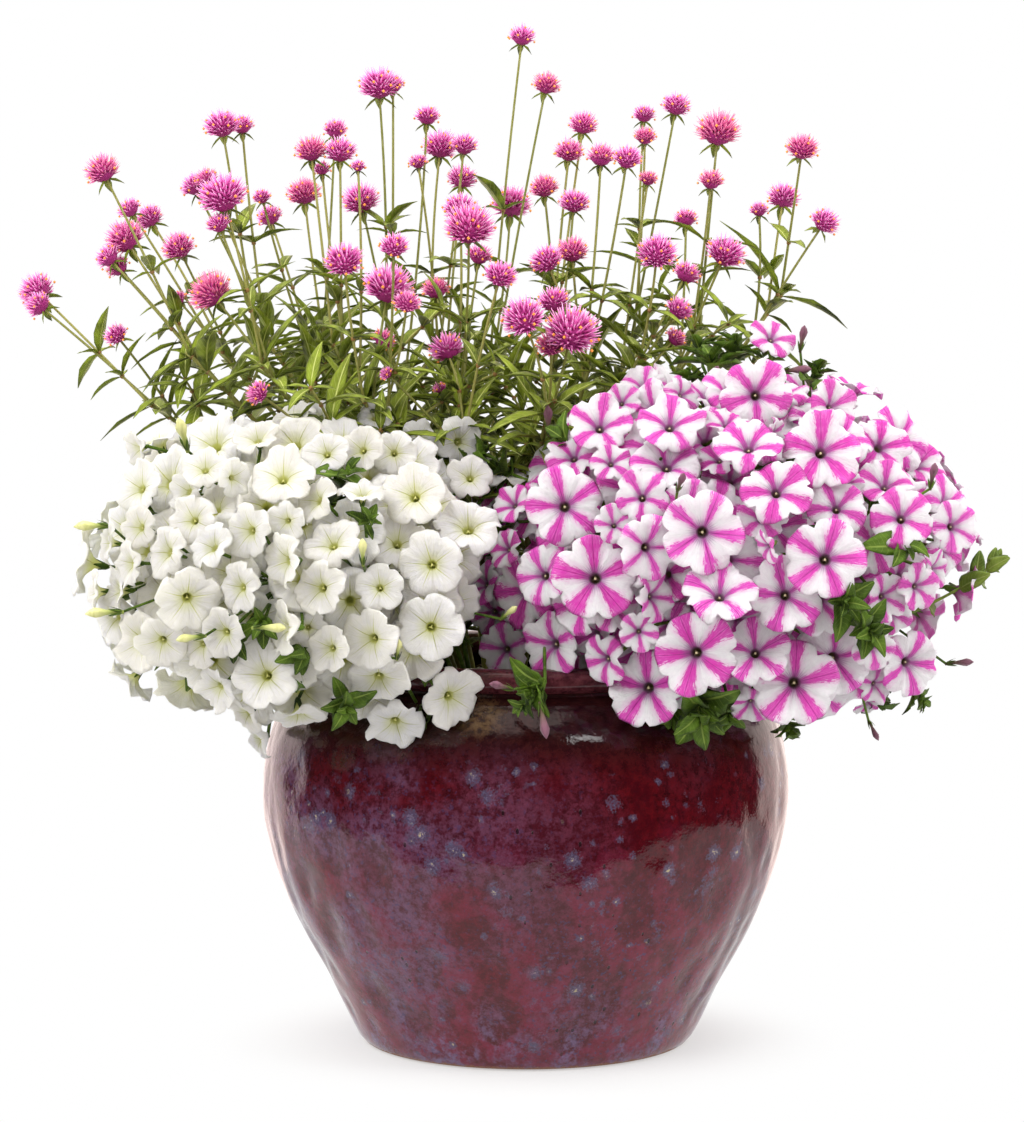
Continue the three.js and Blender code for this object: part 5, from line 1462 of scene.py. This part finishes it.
# How many on any head, and how many more for each millimetre of its radius
BRACTS = (54, 10.5)
FLORETS = (7, 0.95)
BRACT_FOOT = 0.56
BRACT_TIP = 0.18
BRACT_FLATNESS = 0.6
LARGE_HEAD = 12.0
FLORET_OUT = 0.98
LEAFY_JOINTS = (0.12, 0.2, 0.3, 0.4, 0.49, 0.58, 0.67, 0.76, 0.84, 0.92, 0.98)
STALK, LEAF, BRACT, FLORET, CORE = 0, 1, 2, 3, 4


def jittered(ways, amount, index, draw):
    """Directions each moved a little its own way."""
    return unit(ways + amount * (chance(np.arange(ways.size).reshape(-1, 3) + index, draw) - 0.5))


def amaranth_head(growth, centre, along, radius, index):
    """A head: a heart painted dark as the shade among the bracts, bracts that sweep up all round it,
    florets between, small leaves.
    """
    first, second = frame_of(along, np.array([1.0, 0.1, 0.0]))

    def placed(ways, reach):
        """Points out of the centre, the head a little flatter than round."""
        rise = (ways * along).sum(-1, keepdims=True)
        return centre + (ways - along * rise * HEAD_FLATTER) * reach

    # The heart ball is painted deep magenta as the shade deep among the bracts
    heart = ball((0, 0, 0), 1.0, 6, 9)
    growth.add(placed(heart, radius * HEART_SIZE), CORE, 0.0, 0.0, chance(index, 70))
    ways = jittered(all_round(int(BRACTS[0] + BRACTS[1] * radius)), 0.16, index * 17, 71)
    ways = ways[:, :1] * first + ways[:, 1:2] * second + ways[:, 2:] * along
    rise = (ways * along).sum(1)
    ways = ways[rise > (-0.62 if radius > LARGE_HEAD else -0.32)]
    number = np.arange(len(ways)) + index * 400
    length = (radius * (0.9 + 0.2 * chance(number, 72)))[:, None]
    sides = unit(np.cross(ways, along + 0.3 * first))
    sweep = along * length * (0.1 + 0.16 * chance(number, 73))[:, None]
    wide = (0.55 + radius * (0.043 + 0.016 * chance(number, 74)))[:, None, None]
    flat = BRACT_FLATNESS * np.cross(ways, sides)
    around = circled(sides[:, None], flat[:, None], full_turn(3)[None, :, None])
    foot = placed(ways, length * BRACT_FOOT) - sweep * 0.2
    tip = placed(ways, length) + sweep
    rings = np.stack([foot[:, None] + around * wide, tip[:, None] + around * (wide * BRACT_TIP)], 1)
    reach = np.array([0.25, 1.0])[None, :, None]
    growth.add(rings, BRACT, reach, chance(index, 75), chance(number, 76)[:, None, None])
    for way in jittered(all_round(int(FLORETS[0] + radius * FLORETS[1])), 0.5, index * 13, 77):
        way = way[0] * first + way[1] * second + way[2] * along
        if way @ along > -0.35:
            grain = ball((0, 0, 0), 0.78 + 0.03 * radius, 3, 4)
            growth.add(placed(way, radius * FLORET_OUT) + grain, FLORET, 0.5, 0.5, 0.5)
    around = np.array([first, -first, second]) * 0.75 + along * -0.5
    blades(
        growth, LEAF, centre - along * radius * 0.42, around, along, 4.0 + radius * 0.7,
        1.6 + radius * 0.32, 0.1, rows=5, luck=chance(index, 78),
    )


def leaf_pair(growth, place, ahead, turn, length, index, crossed=True):
    """Two leaves opposite each other at a joint, and two smaller ones crossed over them."""
    first, second = frame_of(ahead, np.array([1.0, 0.0, 0.05]))
    number = np.arange(4 if crossed else 2)
    at = turn + np.array([0, math.pi, math.pi / 2, -math.pi / 2])[number]
    at = (at + 0.35 * (chance(index + number, 80) - 0.5))[:, None]
    lift = (0.1 + 0.45 * chance(index + number, 81))[:, None]
    ways = circled(first, second, at) + ahead * lift + UP * 0.1
    sizes = length * np.where(number < 2, 1.0, 0.55) * (0.8 + 0.4 * chance(index + number, 82))
    blades(
        growth, LEAF, place, ways, UP + ahead * 0.4, sizes, 4.4 + sizes * 0.155,
        0.06 + 0.26 * chance(index, 83), arch=0.2, fold=0.22, wave=0.09,
        sweep=0.16 * (chance(index + number, 84) - 0.5), luck=chance(index + number, 85),
    )
    growth.add(ball(place, 2.1, 4, 5), STALK, 1.0, 1.0, 0.5)


olive = Finish("olive_stalk", Roughness=0.6, Specular_IOR_Level=0.3)
hairs = olive.noise(olive.place((1.0, 1.0, 0.2)), 900.0, 2.0)
olive.colour = olive.mix(olive.given("chance"), (112, 116, 48), (146, 142, 74))
olive.coat(olive.span(hairs, 0.45, 0.75, 0.0, 0.5), (168, 168, 120))
olive.coat(olive.span(olive.given("across"), 0.7, 1.0, 0.0, 0.55), (142, 74, 58))
olive.wear(hairs, 0.0005, 0.5)

amaranth_leaf = leaf_finish("amaranth_leaf", (26, 40, 1), (134, 150, 40), (200, 206, 122), 0.03)

bract = Finish("papery_bract", Roughness=0.5, Specular_IOR_Level=0.3)
along, luck, head = bract.given("reach"), bract.given("chance"), bract.given("across")
silk = bract.noise(bract.place(), 500.0, 2.0)
body = bract.mix(luck, (230, 104, 190), (242, 136, 208))
bract.colour = bract.mix(luck, (184, 40, 138), (210, 70, 164))
bract.coat(bract.span(along, 0.3, 0.6), body)
bract.coat(bract.span(along, 0.6, 1.0), bract.mix(luck, (246, 160, 218), (252, 198, 232)))
bract.coat(bract.times(bract.span(head, 0.5, 1.0, 0.0, 0.75), along), (236, 122, 146))
bract.wear(silk, 0.0004, 0.4)


def speckled(name, roughness, scale, dark, light, distance, strength):
    """A grain of two colours that stands out a little."""
    made = Finish(name, Roughness=roughness)
    specks = made.noise(made.place(), scale, 2.0)
    made.colour = made.mix(specks, dark, light)
    return made.wear(specks, distance, strength)


# The heads' hearts are painted deep magenta: painted shade among the bracts
amaranth_finishes = [
    olive.material, amaranth_leaf, bract.material,
    speckled("orange_floret", 0.5, 900.0, (248, 128, 44), (255, 186, 88), 0.0004, 0.5),
    speckled("head_shade_core", 0.7, 500.0, (122, 16, 88), (174, 42, 128), 0.001, 0.6),
]

for spray, (fork, depth, heads) in enumerate(AMARANTH_SPRAYS):
    growth = Growth()
    top = seen_at(*fork, depth)
    spread = (top[:2] - AMARANTH_ROOT_CENTRE) * AMARANTH_ROOT_SPREAD
    root = np.append(AMARANTH_ROOT_CENTRE + spread, SOIL_HEIGHT)
    stem = (root, root + (top - root) * 0.45 + UP * AMARANTH_ARCH, top)
    path = rising(*stem)
    tube(growth, STALK, path, np.linspace(*STEM_THICK, len(path)), 7, chance(spray, 90))
    line = bent(*stem, 101)
    for joint, at in enumerate(LEAFY_JOINTS):
        index = spray * 100 + joint * 7
        row = int(at * 100)
        ahead = unit(line[min(100, row + 2)] - line[row])
        length = (STEM_LEAF[0] + STEM_LEAF[1] * chance(index, 91)) * (0.7 if at < 0.25 else 1.0)
        turn = joint * 1.57 + chance(spray, 92)
        leaf_pair(growth, line[row], ahead, turn, length, index)
    for branch in range(BRANCHES):
        index = spray * 100 + 60 + branch * 9
        place = line[int((0.4 + 0.19 * branch) * 100)]
        turn = 2 * math.pi * (chance(spray, 93) + branch / 3)
        out = unit(np.array([math.cos(turn), math.sin(turn), 0.55 + 0.5 * chance(index, 94)]))
        reach = out * (BRANCH_REACH[0] + BRANCH_REACH[1] * chance(index, 95))
        arc = bent(place, place + reach * 0.5 + UP * 12, place + reach, 9)
        tube(growth, STALK, arc, np.linspace(*BRANCH_THICK, 9), 6, chance(index, 96))
        for joint, row in enumerate((4, 6, 8)):
            length = BRANCH_LEAF[0] - BRANCH_LEAF[1] * joint
            length = length + BRANCH_LEAF[2] * chance(index + joint, 97)
            key = index * 3 + joint * 5
            leaf_pair(growth, arc[row], out, joint * 1.57 + turn, length, key, joint != 1)
    for count, (px, py, width) in enumerate(heads):
        index = spray * 10 + count
        radius = width * MM_PER_POINT / 2
        centre = seen_at(px, py, depth + (chance(index, 6) - 0.5) * HEAD_DEPTH_SPREAD)
        foot = on_stem(stem, LAST_JOINT - 0.06 * count)
        way = unit(centre - foot)
        bow = frame_of(way)[1] * 14 * (chance(index, 98) - 0.5)
        stalk = bent(foot, (foot + centre) / 2 + bow + UP * 3, centre - way * radius * 0.3, 12)
        tube(growth, STALK, stalk, np.linspace(*STALK_THICK, 12), 5, chance(index, 99))
        amaranth_head(growth, centre, unit(centre - stalk[-3]), radius * HEAD_FULL, index)
        tall = np.linalg.norm(centre - foot)
        if tall > BARE_STALK:
            at = 4 + int(2 * chance(index, 100))
            ahead, turn = unit(stalk[at + 1] - stalk[at]), chance(index, 101) * 3
            leaf_pair(growth, stalk[at], ahead, turn, 24 + tall * 0.1, index * 5, tall > TALL_STALK)
    made = growth.piece(f"amaranth_{spray + 1:02d}", amaranth_finishes)
    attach(made, "root")
    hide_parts(f"amaranth_spray_{spray + 1:02d}")
